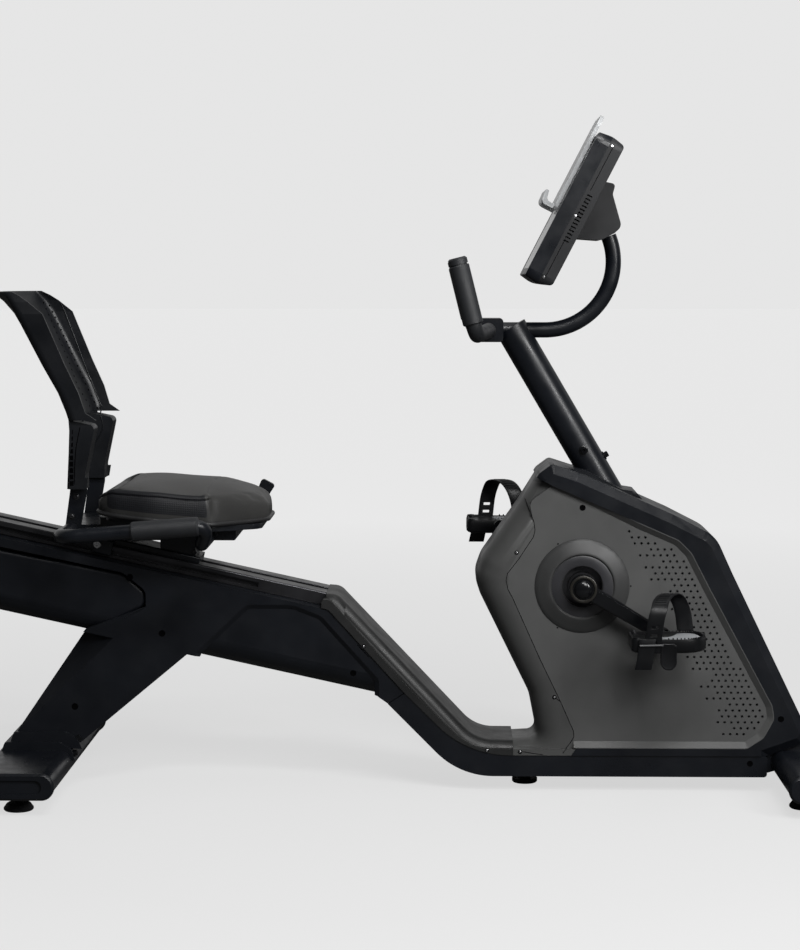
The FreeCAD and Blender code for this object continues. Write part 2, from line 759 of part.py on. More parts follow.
def neck_tube():
    """Tube that leaves the mast head level and curls up to the console."""
    angle = math.radians(neck_rise_angle) / 2 - math.pi / 4
    arc_middle = V(neck_bend_x + neck_bend * math.cos(angle), 0, neck_height + neck_bend * (1 + math.sin(angle)))
    start = V(bar_x + bar_radius + 2, 0, neck_height)
    bend_start = V(neck_bend_x, 0, neck_height)
    path = Part.Wire([Part.LineSegment(start, bend_start).toShape(),
                      Part.Arc(bend_start, arc_middle, neck_end()).toShape()])
    ring = Part.Wire(Part.Circle(start, V(1, 0, 0), neck_radius).toShape())
    return path.makePipeShell([ring], True, False)


def handlebar_path():
    lean = math.radians(grip_lean)
    top = V(bar_x - 58, -bar_half_width, neck_height + 125)
    foot = top + V(math.sin(lean), 0, -math.cos(lean)) * (grip_length + 20)
    centre = V(bar_x, -64, neck_height)
    return top, foot, centre


def handlebar():
    top, foot, centre = handlebar_path()
    points = [top, foot, centre]
    points = points + [V(point.x, -point.y, point.z) for point in reversed(points)]
    return bent_tube(points, [26, 60, 60, 26], bar_radius)


def grip():
    """Foam sleeve with a grooved end cap."""
    top, foot, centre = handlebar_path()
    radius = grip_radius
    return turned(top, foot - top, [
        (-8, 0), (-8, radius - 4), (-5, radius - 1), (4, radius - 1), (4, radius - 3), (6, radius - 3), (6, radius - 1),
        (8, radius), (grip_length - 2, radius), (grip_length, radius - 2), (grip_length, 0)])


def handlebar_clamp():
    """Clamp block that joins the cross tube to the neck."""
    return slab(around(bar_x, neck_height, [(-18, -22, 6), (28, -22, 6), (28, 22, 6), (-18, 22, 6)]), -34, 34)


# Console, built upright at the origin and leaned back
def console_place(shape):
    copy = shape.copy()
    copy.rotate(V(0, 0, 0), V(0, 1, 0), console_lean)
    copy.translate(neck_end() - V(161, 0, 71.6))
    return copy


def console_block(x_low, x_high, margin, round_corner):
    half = console_half_width - margin
    corners = [(-half, margin, round_corner), (half, margin, round_corner),
               (half, console_length - margin, round_corner), (-half, console_length - margin, round_corner)]
    return Part.Face(outline(corners, section(x_low))).extrude(V(x_high - x_low, 0, 0))


def console_shell():
    """Whole console: rounded corners, with bowed top and bottom ends."""
    thick = console_thickness
    ends = slab([(0, 0, 3), (thick / 2, -4.2, 40), (thick, 5, 8), (thick, console_length - 2, 8),
                 (thick / 2, console_length + 4, 40), (0, console_length, 3)], -console_half_width, console_half_width)
    half = console_half_width
    corners = [(-half, -8, 24), (half, -8, 24), (half, console_length + 8, 24), (-half, console_length + 8, 24)]
    shell = Part.Face(outline(corners, section(-1))).extrude(V(thick + 2, 0, 0))
    return ends.common(shell)


def console_front():
    half = Part.makeBox(bezel_thickness + 2, 400, 400, V(-2, -200, -50))
    window = console_block(-1, screen_thickness + 1, 14, 10)
    return console_place(console_shell().common(half).cut(window))


def screen():
    return console_place(console_block(0.6, screen_thickness + 1, 14.4, 9.6))


def console_back():
    """Rear half of the console, with a row of vent slots in each side."""
    half = console_half_width
    shell = console_shell().common(Part.makeBox(60, 400, 400, V(bezel_thickness, -200, -50)))
    slots = []
    for index in range(14):
        for y in (-half - 1, half - 4):
            slots.append(Part.makeBox(console_thickness - bezel_thickness - 16, 5, 3, V(bezel_thickness + 6, y, 86 + 7 * index)))
    return console_place(shell.cut(Part.makeCompound(slots)))


def console_mount():
    """Wedge housing behind the console that takes the neck tube."""
    end = neck_end()
    return slab(around(end.x, end.z, [
        (-72, -4, 0), (-20, 101, 0), (8, 95, 6), (3, 76, 10), (20, 17, 14), (7, 5, 8), (-18, -8, 8)]), -58, 58)


def media_tray():
    """Clear plate that rests on the screen's face and holds a phone or book."""
    half = 96
    plate_face = outline([(-half, 132, 10), (half, 132, 10), (half, console_length + 34, 22),
                          (-half, console_length + 34, 22)], section(-tray_thickness - 2))
    sheet = Part.Face(plate_face).extrude(V(tray_thickness, 0, 0))
    lip = slab([(-tray_thickness - 2, 132, 0), (-2, 132, 0), (-2, 140, 0), (-26, 140, 8), (-30, 158, 2),
                (-36, 158, 2), (-34, 132, 10)], -half + 10, half - 10)
    feet = Part.makeBox(2.6, 2 * half - 60, 14, V(-2.1, -half + 30, 240))
    return console_place(sheet.fuse([lip, feet]).removeSplitter())


# Seat assembly, carried along the rail
seat_x = -420.0
carriage_height = 40.4
seat_floor = rail_top(seat_x) + carriage_height


def along_rail(shape, x):
    """A piece built level at the origin, set on the rail's top face at x."""
    copy = shape.copy()
    copy.rotate(V(0, 0, 0), V(0, 1, 0), rail_slope)
    copy.translate(V(x, 0, rail_top(x)))
    return copy


def seat_carriage():
    """Slide plate on the rail, gripping its edges at the rear, with a block up to the seat's frame."""
    half = rail_width / 2
    inner = half - 10
    flat = outline([(-inner, seat_gap, 0), (inner, seat_gap, 0), (inner, 12, 3), (-inner, 12, 3)], section(-150))
    grip = outline([
        (-half - 9, -20, 3), (-half - seat_gap, -20, 1), (-half - seat_gap, seat_gap, 0), (half + seat_gap, seat_gap, 0),
        (half + seat_gap, -20, 1), (half + 9, -20, 3), (half + 9, 12, 6), (-half - 9, 12, 6)], section(-152))
    slide = along_rail(Part.Face(flat).extrude(V(196, 0, 0)), seat_x)
    hold = along_rail(Part.Face(grip).extrude(V(34, 0, 0)), seat_x)
    block = slab(around(seat_x, seat_floor, [(-28, -28, 0), (38, -42, 0), (38, 0, 3), (-28, 0, 3)]), -38, 38)
    return slide.fuse([hold, block]).removeSplitter()


def seat_underside(drop=0.0):
    """Side line under the cushion: it falls to the thighs and runs level to the nose."""
    return around(seat_x, seat_floor - drop, [(-180, 58, 0), (86, 34, 60), (220, 31, 0)])


def underside_height(x):
    (rear, rear_z, _), (low, low_z, _), _ = seat_underside()
    return rear_z + (low_z - rear_z) * (x - rear) / (low - rear)


def seat_base():
    """Steel frame under the cushion, running back to the brackets of the backrest."""
    low = seat_floor
    x = seat_x
    drop = seat_pan_thickness + seat_gap
    bed = slab([(x - 132, low, 4), (x + 120, low, 4), (x + 120, underside_height(x + 120) - drop - 0.1, 0),
                (x - 132, underside_height(x - 132) - drop, 0)], -96, 96)
    heel = slab(around(x, low, [(-132, 8, 0), (-132, 30, 0), (-198, 30, 4), (-198, 16, 6)]), -post_spread, post_spread)
    return bed.fuse(heel).removeSplitter()


def seat_pan():
    """Plastic pan that the cushion is upholstered on."""
    top = seat_underside(seat_gap)
    low = seat_underside(seat_gap + seat_pan_thickness)
    blade = slab(top + low[::-1], -300, 300)
    return plate(seat_plan(-16), seat_floor, seat_floor + 100).common(blade)


def seat_plan(grow):
    """Plan outline of the seat: wide at the hips, narrower between the thighs."""
    wide = seat_half_width + grow
    rear = seat_x - 134 - grow
    front = seat_x + 184 + grow
    half_plan = [(rear, -wide + 28, 64), (seat_x - 24, -wide, 120), (seat_x + 84, -wide + 22, 36),
                 (front, -wide + 88, 44)]
    return half_plan + [(x, -y, radius) for x, y, radius in reversed(half_plan)]


def seat_cushion():
    """Closed soft form, crowned toward the middle and sloping at its front lip."""
    top = around(seat_x, seat_floor, [(220, 71, 0), (158, 92, 40), (90, 110, 60), (-50, 112, 60), (-180, 86, 0)])
    return plate(seat_plan(0), seat_floor, seat_floor + 130).common(slab(seat_underside() + top, -300, 300))


def handle_path():
    x = seat_x
    z = seat_floor
    y = -handle_half_width
    return [V(x + 68, -90, z + 6), V(x + 70, y + 38, z + 8), V(x + 86, y, z + 46), V(x - 183, y, z + 24),
            V(x - 183, -post_spread, z + 21)]


def side_handle():
    return bent_tube(handle_path(), [20, 20, 34], handle_radius)


def side_grip():
    """Foam sleeve on the handle's level run, thicker than the tube and round at its ends."""
    points = handle_path()
    direction = (points[3] - points[2]).normalize()
    radius = handle_grip_radius
    return turned(points[2] + direction * 16, direction, [
        (0, 0), (0, radius - 3), (3, radius), (119, radius), (122, radius - 2), (122, 0)])


def back_post():
    """Steel bracket from the seat frame up into the backrest's channel."""
    return slab(around(seat_x, seat_floor, [
        (-196, 16, 4), (-168, 16, 4), (-154, 92, 4), (-152, 166, 4), (-178, 166, 4), (-185, 92, 4)]),
        -post_spread - post_thickness, -post_spread)


def back_form(inset, reach):
    """Body inside the backrest's outer face, or inside its inner face when inset by the wall."""
    levels = [
        (99, -194, -185, -150, 0.97),
        (163, -192, -181, -139, 0.98),
        (206, -190, -179, -131, 0.99),
        (226, -191, -180, -129, 1.0),
        (240, -195, -184, -149, 1.01),
        (276, -208, -198, -160, 1.03),
        (326, -236, -225, -183, 1.06),
        (420, -289, -271, -222, 1.1),
        (442, -309, -282, -249, 1.08),
        (452, -323, -288, -264, 1.04),
        (460, -331, -296, -280, 1.0),
    ]
    profiles = []
    for rise, centre_x, side_x, front_x, share in levels:
        half = share * back_half_width - inset
        bend = 0.5 * half
        centre_x += seat_x + inset
        side_x += seat_x + inset
        front_x += seat_x + reach
        corners = [(front_x, -half, 0), (side_x, -half, 16), (centre_x, -bend, 70), (centre_x, bend, 70),
                   (side_x, half, 16), (front_x, half, 0)]
        profiles.append(outline(corners, plan(seat_floor + rise)))
    return Part.makeLoft(profiles, True, True)


def back_shell():
    """Moulded wraparound backrest: a curved wall with wings, and channels for the brackets."""
    low = seat_floor
    boss = slab(around(seat_x, low, [(-280, 86, 0), (-152, 86, 0), (-152, 126, 4), (-133, 216, 10), (-280, 246, 0)]),
                -0.99 * back_half_width, -post_spread + 10)
    hollow = back_form(back_wall, 40).cut(boss).cut(mirrored(boss))
    arch = outline([(-86, low + 60, 0), (86, low + 60, 0), (86, low + 160, 50), (0, low + 196, 120),
                    (-86, low + 160, 50)], section(seat_x - 280))
    sleeve = Part.makeBox(300, 40, 226, V(seat_x - 330, -0.94 * back_half_width - 40, low))
    body = back_form(0, 0).cut(hollow).cut(Part.Face(arch).extrude(V(160, 0, 0)))
    return body.cut(sleeve).cut(mirrored(sleeve))


def adjust_lever():
    """Release lever at the left of the seat, bent up beside the cushion."""
    x = seat_x
    z = seat_floor
    y = seat_half_width + 14
    elbow = V(x + 134, y, z + 18)
    stem = rod(V(x + 106, 90, z + 7), elbow, 5)
    rise = rod(elbow, V(x + 158, y + 4, z + 66), 5)
    tab = slab(around(x, z, [(134, 64, 6), (158, 56, 6), (170, 74, 6), (144, 88, 6)]), y - 2, y + 10)
    return stem.fuse([rise, Part.makeSphere(5, elbow), tab]).removeSplitter()


# Front foot, stabilizer and transport wheels
def front_foot():
    """Stepped bracket from the low beam's end over the front stabilizer."""
    start = low_beam_front_x
    corners = [(start, low_beam_floor_gap + 4, 3), (start, low_beam_top - 2, 3), (start + 34, 100, 10),
               (start + 68, 101, 10), (start + 106, 86, 10), (start + 112, 68, 6), (start + 104, 56, 3),
               (start + 20, 40, 3)]
    return slab(corners, -72, 72)


def wheel_centre():
    """Middle of the right transport wheel."""
    x = half_length - wheel_radius
    y = -stabilizer_half_length + wheel_inset
    return V(x, y, wheel_radius + wheel_floor_gap)


def transport_wheel():
    centre = wheel_centre()
    half = wheel_width / 2
    bore = wheel_pin_radius + running_gap
    return turned(centre, V(0, 1, 0), [
        (-half, bore), (-half, wheel_radius - 3), (3 - half, wheel_radius), (half - 3, wheel_radius),
        (half, wheel_radius - 3), (half, bore)])


def wheel_fork():
    """Ears on the front stabilizer that carry the wheel's pin."""
    centre = wheel_centre()
    gap = 5
    ear = 4
    inner = wheel_width / 2 + gap
    base_x = front_stabilizer_x + 16
    corners = [(base_x, stabilizer_base + 2, 0), (centre.x - 4, centre.z - 12, 8), (centre.x + 11, centre.z - 12, 9),
               (centre.x + 11, centre.z + 12, 9), (base_x + 20, stabilizer_base + stabilizer_height - 6, 0),
               (base_x, stabilizer_base + stabilizer_height - 2, 0)]
    ears = [slab(corners, centre.y - inner - ear, centre.y - inner), slab(corners, centre.y + inner, centre.y + inner + ear)]
    pin = Part.makeCylinder(wheel_pin_radius, 2 * (inner + ear), centre - V(0, inner + ear, 0), V(0, 1, 0))
    return ears[0].fuse([ears[1], pin]).removeSplitter()


def build():
    os.makedirs("parts", exist_ok=True)
    beam = rear_beam()
    rail = seat_rail()
    save("seat_rail", rail)
    save("rear_beam", beam.cut(rail))
    cover = side_cover()
    low = low_beam()
    rear_tube = stabilizer(rear_stabilizer_x, stabilizer_depth)
    solid_tube = slab(oval(stabilizer_depth, stabilizer_height, rear_stabilizer_x, stabilizer_base), -400, 400)
    foot = rear_foot().cut(solid_tube)
    cover = cover.cut(low).cut(foot)
    save("beam_cover_right", cover)
    save("beam_cover_left", mirrored(cover))
    save("low_beam", low)
    cap = beam_cap().cut(rail)
    save("beam_cap", cap)
    save("step_cover", step_cover())
    save("centre_foot", centre_foot())

    save("rear_stabilizer", rear_tube)
    save("rear_foot", foot)
    leg = rear_leg().cut(beam).cut(cover).cut(mirrored(cover)).cut(foot)
    save("rear_leg", leg)
    save("rear_end_caps", pair(end_cap(rear_stabilizer_x, stabilizer_depth)))
    rear_pads = leveler(rear_stabilizer_x, -stabilizer_half_length + leveler_inset)
    front_pads = leveler(front_stabilizer_x, -stabilizer_half_length + front_leveler_inset)
    save("levelers", Part.makeCompound([rear_pads, mirrored(rear_pads), front_pads, mirrored(front_pads)]))

    solid_box = slab(housing_corners(), -housing_half_width, housing_half_width)
    mast_body = mast()
    band = housing_band().cut(mast_body)
    collar = mast_collar().cut(mast_body).cut(solid_box)
    panel = housing_panel()
    save("housing_rear", housing_wrap())
    save("housing_band", band)
    save("housing_right", panel)
    save("housing_left", mirrored(panel))
    save("dish_right", dish())
    save("dish_left", mirrored(dish()))
    save("drive_frame", drive_frame())
    save("flywheel", flywheel())
    save("mast_collar", collar)

    neck = neck_tube()
    bar = handlebar()
    clamp = handlebar_clamp().cut(neck).cut(bar)
    neck = neck.cut(bar)
    save("neck_tube", neck)
    save("mast", mast_body.cut(neck).cut(bar).cut(clamp))
    save("handlebar", bar)
    save("handlebar_clamp", clamp)
    save("grips", pair(grip().cut(bar)))
    save("console_front", console_front())
    save("screen", screen())
    back = console_back()
    save("console_back", back)
    save("console_mount", console_mount().cut(neck).cut(back))
    save("media_tray", media_tray())

    save("front_stabilizer", stabilizer(front_stabilizer_x, front_stabilizer_depth))
    solid_front = slab(oval(front_stabilizer_depth, stabilizer_height, front_stabilizer_x, stabilizer_base), -400, 400)
    save("front_foot", front_foot().cut(solid_front).cut(solid_box))
    save("front_end_caps", pair(end_cap(front_stabilizer_x, front_stabilizer_depth)))
    save("wheel_forks", pair(wheel_fork().cut(solid_front)))
    wheel = transport_wheel()
    save("wheel_right", wheel)
    save("wheel_left", mirrored(wheel))

    save("crank_axle", crank_axle())
    arm = crank_arm()
    left_arm = mirrored(arm)
    left_arm.rotate(V(crank_x, 0, crank_z), V(0, 1, 0), 180)
    save("crank_right", arm)
    save("crank_left", left_arm)
    body = pedal()
    save("pedal_right", at_pedal(body, 1))
    save("pedal_left", at_pedal(body, -1))
    band = Part.makeCompound([part.cut(body) for part in strap()])
    save("strap_right", at_pedal(band, 1))
    save("strap_left", at_pedal(band, -1))

    save("seat_carriage", seat_carriage())
    base = seat_base()
    handle = side_handle().cut(base)
    post = back_post()
    save("seat_base", base)
    save("seat_pan", seat_pan())
    save("seat_cushion", seat_cushion())
    save("side_handles", pair(handle))
    save("side_grips", pair(side_grip().cut(side_handle())))
    save("back_posts", pair(post.cut(handle)))
    save("back_shell", back_shell().cut(post).cut(mirrored(post)))
    save("adjust_lever", adjust_lever().cut(base))


build()
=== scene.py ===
import bpy
import bmesh
import json
import math
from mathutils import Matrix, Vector


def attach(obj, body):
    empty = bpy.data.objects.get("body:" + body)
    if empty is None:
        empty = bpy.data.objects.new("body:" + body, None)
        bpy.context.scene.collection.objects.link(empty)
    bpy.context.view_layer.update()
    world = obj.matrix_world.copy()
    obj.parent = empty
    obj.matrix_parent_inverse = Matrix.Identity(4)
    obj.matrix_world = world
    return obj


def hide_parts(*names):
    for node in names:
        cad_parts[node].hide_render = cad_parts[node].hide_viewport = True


# Recumbent exercise bike: metres, +X forward, +Y to the rider's left, +Z up
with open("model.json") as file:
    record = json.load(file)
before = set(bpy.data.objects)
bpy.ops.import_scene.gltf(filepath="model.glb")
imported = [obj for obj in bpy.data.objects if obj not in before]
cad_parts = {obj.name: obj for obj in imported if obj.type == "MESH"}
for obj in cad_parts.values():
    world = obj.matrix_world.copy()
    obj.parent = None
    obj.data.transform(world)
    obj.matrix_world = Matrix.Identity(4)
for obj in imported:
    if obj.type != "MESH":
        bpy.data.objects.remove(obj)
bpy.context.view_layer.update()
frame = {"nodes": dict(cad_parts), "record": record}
nodes = frame["nodes"]
sides = (("right", -1), ("left", 1))
print("frame loaded")


# Materials: every look is a few noise layers on object coordinates
def newMaterial(name):
    material = bpy.data.materials.new(name)
    material.use_nodes = True
    tree = material.node_tree
    tree.nodes.clear()
    output = tree.nodes.new("ShaderNodeOutputMaterial")
    shader = tree.nodes.new("ShaderNodeBsdfPrincipled")
    tree.links.new(shader.outputs[0], output.inputs[0])
    return material, tree, shader


def tune(node, values):
    for name, value in values.items():
        node.inputs[name].default_value = value


def noise(tree, scale, detail, stretch=None):
    source = tree.nodes.new("ShaderNodeTexCoord").outputs["Object"]
    node = tree.nodes.new("ShaderNodeTexNoise")
    tune(node, {"Scale": scale, "Detail": detail})
    if stretch:
        mapping = tree.nodes.new("ShaderNodeMapping")
        tune(mapping, {"Scale": stretch})
        tree.links.new(source, mapping.inputs["Vector"])
        source = mapping.outputs[0]
    tree.links.new(source, node.inputs["Vector"])
    return node.outputs["Fac"]


def ranged(tree, source, low, high, start=0.35, stop=0.65):
    node = tree.nodes.new("ShaderNodeMapRange")
    tune(node, {"From Min": start, "From Max": stop, "To Min": low, "To Max": high})
    tree.links.new(source, node.inputs["Value"])
    return node.outputs[0]


# Mix of two colours, each given as numbers or as a socket
def tinted(tree, share, first, second):
    node = tree.nodes.new("ShaderNodeMix")
    node.data_type = "RGBA"
    for name, colour in (("A", first), ("B", second)):
        if isinstance(colour, tuple):
            tune(node, {name: (*colour, 1)})
        else:
            tree.links.new(colour, node.inputs[name])
    tree.links.new(share, node.inputs["Factor"])
    return node.outputs["Result"]


def bumped(tree, shader, source, strength, distance):
    node = tree.nodes.new("ShaderNodeBump")
    tune(node, {"Strength": strength, "Distance": distance})
    tree.links.new(source, node.inputs["Height"])
    tree.links.new(node.outputs[0], shader.inputs["Normal"])


# Sum done on sockets and plain numbers
def joined(tree, operation, *parts):
    node = tree.nodes.new("ShaderNodeMath")
    node.operation = operation
    for socket, part in zip(node.inputs, parts):
        if isinstance(part, float):
            socket.default_value = part
        else:
            tree.links.new(part, socket)
    return node.outputs[0]


def parted(tree, source):
    node = tree.nodes.new("ShaderNodeSeparateXYZ")
    tree.links.new(source, node.inputs[0])
    return node.outputs


# Moulded, painted or machined surface: mottled colour, uneven gloss and a fine grain
mottle = {"colour": (9.0, 4.0), "gloss": (26.0, 5.0), "glossSpread": 0.06, "grainDetail": 2.0, "bump": 0.5,
          "coatRough": 0.15}


def surface(name, dark, light, rough, grain, depth, specular=0.5, metal=0, coat=0, stretch=None):
    material, tree, shader = newMaterial(name)
    tune(shader, {"Metallic": metal, "Specular IOR Level": specular, "Coat Weight": coat,
                  "Coat Roughness": mottle["coatRough"]})
    share = ranged(tree, noise(tree, *mottle["colour"]), 0, 1)
    tree.links.new(tinted(tree, share, dark, light), shader.inputs["Base Color"])
    smudge, spread = noise(tree, *mottle["gloss"]), mottle["glossSpread"]
    tree.links.new(ranged(tree, smudge, rough - spread, rough + spread), shader.inputs["Roughness"])
    bumped(tree, shader, noise(tree, grain, mottle["grainDetail"], stretch), mottle["bump"], depth)
    return material


clear = {"sockets": {"Base Color": (0.6, 0.61, 0.62, 1), "Transmission Weight": 0.45, "IOR": 1.3},
         "haze": (60.0, 4.0), "rough": (0.14, 0.26), "grain": (500.0, 2.0), "bump": (0.3, 3e-5)}


def clearPlastic():
    material, tree, shader = newMaterial("clearTray")
    tune(shader, clear["sockets"])
    tree.links.new(ranged(tree, noise(tree, *clear["haze"]), *clear["rough"]), shader.inputs["Roughness"])
    bumped(tree, shader, noise(tree, *clear["grain"]), *clear["bump"])
    return material


# Name, darker and lighter colour, roughness, fineness and depth of the grain, specular, metal, coat, stretch
finishes = {
    "frame_black": ("satinFrame", (0.003, 0.0038, 0.0056), (0.005, 0.006, 0.0085), 0.33, 900, 8e-5, 0.34),
    "cover_black": ("grainedCover", (0.0036, 0.0043, 0.006), (0.0056, 0.0066, 0.009), 0.38, 1500, 0.00012, 0.26),
    "housing_grey": ("charcoalHousing", (0.06, 0.0605, 0.06), (0.07, 0.0705, 0.0695), 0.42, 1700, 1e-4, 0.35),
    "rail_aluminium": ("darkRail", (0.022, 0.022, 0.024), (0.044, 0.044, 0.048), 0.34, 700, 6e-5, 0.5, 0.75, 0,
                       (0.04, 1, 1)),
    "steel_dark": ("darkSteel", (0.035, 0.035, 0.037), (0.075, 0.075, 0.08), 0.36, 800, 8e-5, 0.5, 0.9),
    "crank_steel": ("glossCrank", (0.0018, 0.002, 0.0026), (0.003, 0.0033, 0.004), 0.2, 400, 5e-5, 0.28, 0, 0.12),
    "grip_foam": ("foamGrip", (0.0085, 0.0092, 0.0108), (0.014, 0.015, 0.017), 0.52, 2600, 0.0004, 0.4),
    "foot_rubber": ("mattRubber", (0.006, 0.006, 0.007), (0.011, 0.011, 0.012), 0.75, 1100, 0.00025, 0.25),
    "pedal_plastic": ("pedalBody", (0.0024, 0.0026, 0.0031), (0.0048, 0.0052, 0.006), 0.36, 1300, 0.00012, 0.22),
    "strap_rubber": ("strapRubber", (0.0018, 0.002, 0.0025), (0.0036, 0.0039, 0.0046), 0.4, 900, 0.00015, 0.2),
    "back_plastic": ("backMoulding", (0.0038, 0.0044, 0.0056), (0.0066, 0.0074, 0.0092), 0.38, 1600, 0.00012,
                     0.35),
    "screen_glass": ("screenFace", (0.38, 0.38, 0.39), (0.44, 0.44, 0.45), 0.16, 300, 2e-5, 0.5, 0, 0.5),
    "seat_fabric": ("plainVinyl", (0.01, 0.01, 0.0105), (0.015, 0.015, 0.0155), 0.46, 1100, 0.00025, 0.4),
    "bright_steel": ("zincScrew", (0.42, 0.42, 0.43), (0.62, 0.62, 0.63), 0.28, 900, 6e-5, 0.5, 1.0),
    "tread_grey": ("treadGrey", (0.045, 0.046, 0.048), (0.075, 0.076, 0.078), 0.5, 1200, 0.0002),
    # Near-black for painted shade inside screw wells, holes, rib cells and the seat crease, and for dark joints
    # along seams
    "shade_and_joint_black": ("paintedShadeAndJointBlack", (0.0004, 0.0004, 0.0006), (0.001, 0.001, 0.0012), 0.85, 900, 1e-4, 0.03),
    # Darker copy of the housing grey for the step cover and beam cap: painted shade on their upward sloping tops
    "shaded_slope_grey": ("slopeCharcoalPaintedShade", (0.0105, 0.0107, 0.0107), (0.015, 0.0152, 0.0152), 0.44, 1700, 1e-4, 0.3),
    "dish_grey": ("dishCharcoal", (0.026, 0.0263, 0.0263), (0.033, 0.0333, 0.0333), 0.44, 1700, 1e-4, 0.32),
    "console_grey": ("consoleRear", (0.0085, 0.0088, 0.0098), (0.013, 0.0134, 0.0148), 0.5, 1500, 0.00012, 0.3),
    "mount_grey": ("consoleWedge", (0.006, 0.0062, 0.007), (0.0095, 0.0098, 0.0108), 0.42, 1500, 0.00012, 0.35),
    "hub_ring": ("hubRing", (0.014, 0.013, 0.011), (0.03, 0.028, 0.024), 0.34, 900, 5e-5, 0.5, 0.6),
    "toe_grey": ("toePlate", (0.26, 0.27, 0.28), (0.36, 0.37, 0.38), 0.45, 1100, 0.00015),
    "ring_dark": ("dishCentre", (0.017, 0.017, 0.019), (0.023, 0.023, 0.026), 0.38, 1500, 1e-4),
    # Darker copy of the housing grey for the rear wrap: painted shade on its rounded rear; the black over its top
    # is its own colour
    "shaded_wrap_grey": ("charcoalWrapPaintedShade", (0.046, 0.0465, 0.046), (0.056, 0.0565, 0.0555), 0.38, 1700, 1e-4, 0.4),
}
looks = {look: surface(*row) for look, row in finishes.items()}
looks["tray_clear"] = clearPlastic()
wrapTop = {"height": 0.581, "blend": 0.0008, "black": (0.0045, 0.0052, 0.0075)}


# The wrap turns black over its top, about the mast collar
def blackAbove(material):
    tree = material.node_tree
    socket = next(node for node in tree.nodes if node.type == "BSDF_PRINCIPLED").inputs["Base Color"]
    grey = socket.links[0].from_socket
    height = parted(tree, tree.nodes.new("ShaderNodeTexCoord").outputs["Object"])["Z"]
    share = ranged(tree, height, 0, 1, wrapTop["height"], wrapTop["height"] + wrapTop["blend"])
    tree.links.new(tinted(tree, share, grey, wrapTop["black"]), socket)


blackAbove(looks["shaded_wrap_grey"])
# Nodes given another look; the wrap, step cover and beam cap take darker copies of the housing grey as painted
# shade
ownLooks = {
    "housing_rear": "shaded_wrap_grey", "step_cover": "shaded_slope_grey", "beam_cap": "shaded_slope_grey", "dish_right": "dish_grey",
    "dish_left": "dish_grey", "console_back": "console_grey", "console_mount": "mount_grey",
    "console_front": "frame_black", "handlebar": "grip_foam",
}
for entry in frame["record"]["subparts"]:
    name = entry["node"]
    nodes[name].data.materials.clear()
    nodes[name].data.materials.append(looks[ownLooks.get(name, entry["material_slot"])])
print("materials made")


# Fine rounding on the CAD pieces' sharp edges, by its width
edgeForm = {"weld": 2e-5, "segments": 2, "angle": math.radians(35)}
edgeRounds = {
    0.005: ["low_beam"],
    0.004: ["step_cover", "mast_collar", "console_mount", "front_foot"],
    0.003: ["rear_foot", "rear_leg", "handlebar_clamp"],
    0.0025: ["beam_cap", "beam_cover_right", "beam_cover_left"],
    0.0022: ["housing_band"],
    0.002: ["console_front", "seat_carriage", "seat_base", "seat_pan", "rear_beam"],
    0.0016: ["back_shell"],
    0.0015: ["console_back"],
    0.0012: ["crank_right", "crank_left", "media_tray", "front_end_caps", "rear_end_caps"],
    0.001: ["back_posts", "wheel_forks", "adjust_lever"],
    0.0008: ["seat_rail", "housing_rear", "dish_right", "dish_left"],
}
for width, names in edgeRounds.items():
    for name in names:
        weld = nodes[name].modifiers.new("weld", "WELD")
        weld.merge_threshold = edgeForm["weld"]
        bevel = nodes[name].modifiers.new("bevel", "BEVEL")
        bevel.width = width
        bevel.segments = edgeForm["segments"]
        bevel.limit_method = "ANGLE"
        bevel.angle_limit = edgeForm["angle"]
        bevel.harden_normals = True
print("edges rounded")


# Mesh helpers
def choose(obj):
    bpy.ops.object.select_all(action="DESELECT")
    obj.select_set(True)
    bpy.context.view_layer.objects.active = obj


def newObject(name, data):
    obj = bpy.data.objects.new(name, data)
    bpy.context.scene.collection.objects.link(obj)
    return obj


# Mesh filled by a function: doubles merged, then faces turned outward
def meshFrom(name, build):
    bm = bmesh.new()
    build(bm)
    bmesh.ops.remove_doubles(bm, verts=bm.verts, dist=1e-6)
    bmesh.ops.recalc_face_normals(bm, faces=bm.faces)
    mesh = bpy.data.meshes.new(name)
    bm.to_mesh(mesh)
    bm.free()
    return mesh


# Piece on a body, in its look
def addPiece(name, build, look, body, slot=None, smooth=35):
    obj = newObject(name, meshFrom(name, build))
    obj.data.materials.append(looks[look])
    if smooth:
        choose(obj)
        bpy.ops.object.shade_smooth_by_angle(angle=math.radians(smooth))
    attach(obj, body)
    return obj


def distinct(vertices):
    return list(dict.fromkeys(vertices))


# Faces between two rings of points, either of them possibly a single point
def bridge(bm, low, high):
    count = max(len(low), len(high))
    for step in range(count):
        after = (step + 1) % count
        corners = distinct((low[step % len(low)], low[after % len(low)], high[after % len(high)],
                            high[step % len(high)]))
        if len(corners) > 2:
            bm.faces.new(corners)


# Form through rings of points, its near and far ends closed if asked
def skin(bm, rings, near=False, far=False):
    for low, high in zip(rings, rings[1:]):
        bridge(bm, low, high)
    if near:
        bm.faces.new(rings[0][::-1])
    if far:
        bm.faces.new(rings[-1])


def turns(segments):
    angles = [2 * math.pi * step / segments for step in range(segments)]
    return [(math.cos(angle), math.sin(angle)) for angle in angles]


# Turned form from (along, radius) corners, set at a place with its axis
def lathe(bm, profile, place, axis, segments):
    turn = Vector((0, 0, 1)).rotation_difference(Vector(axis)).to_matrix()
    rings = []
    for run, radius in profile:
        ring = [(radius * x, radius * y) for x, y in turns(segments)] if radius else [(0, 0)]
        rings.append([bm.verts.new(Vector(place) + turn @ Vector((*spot, run))) for spot in ring])
    skin(bm, rings)


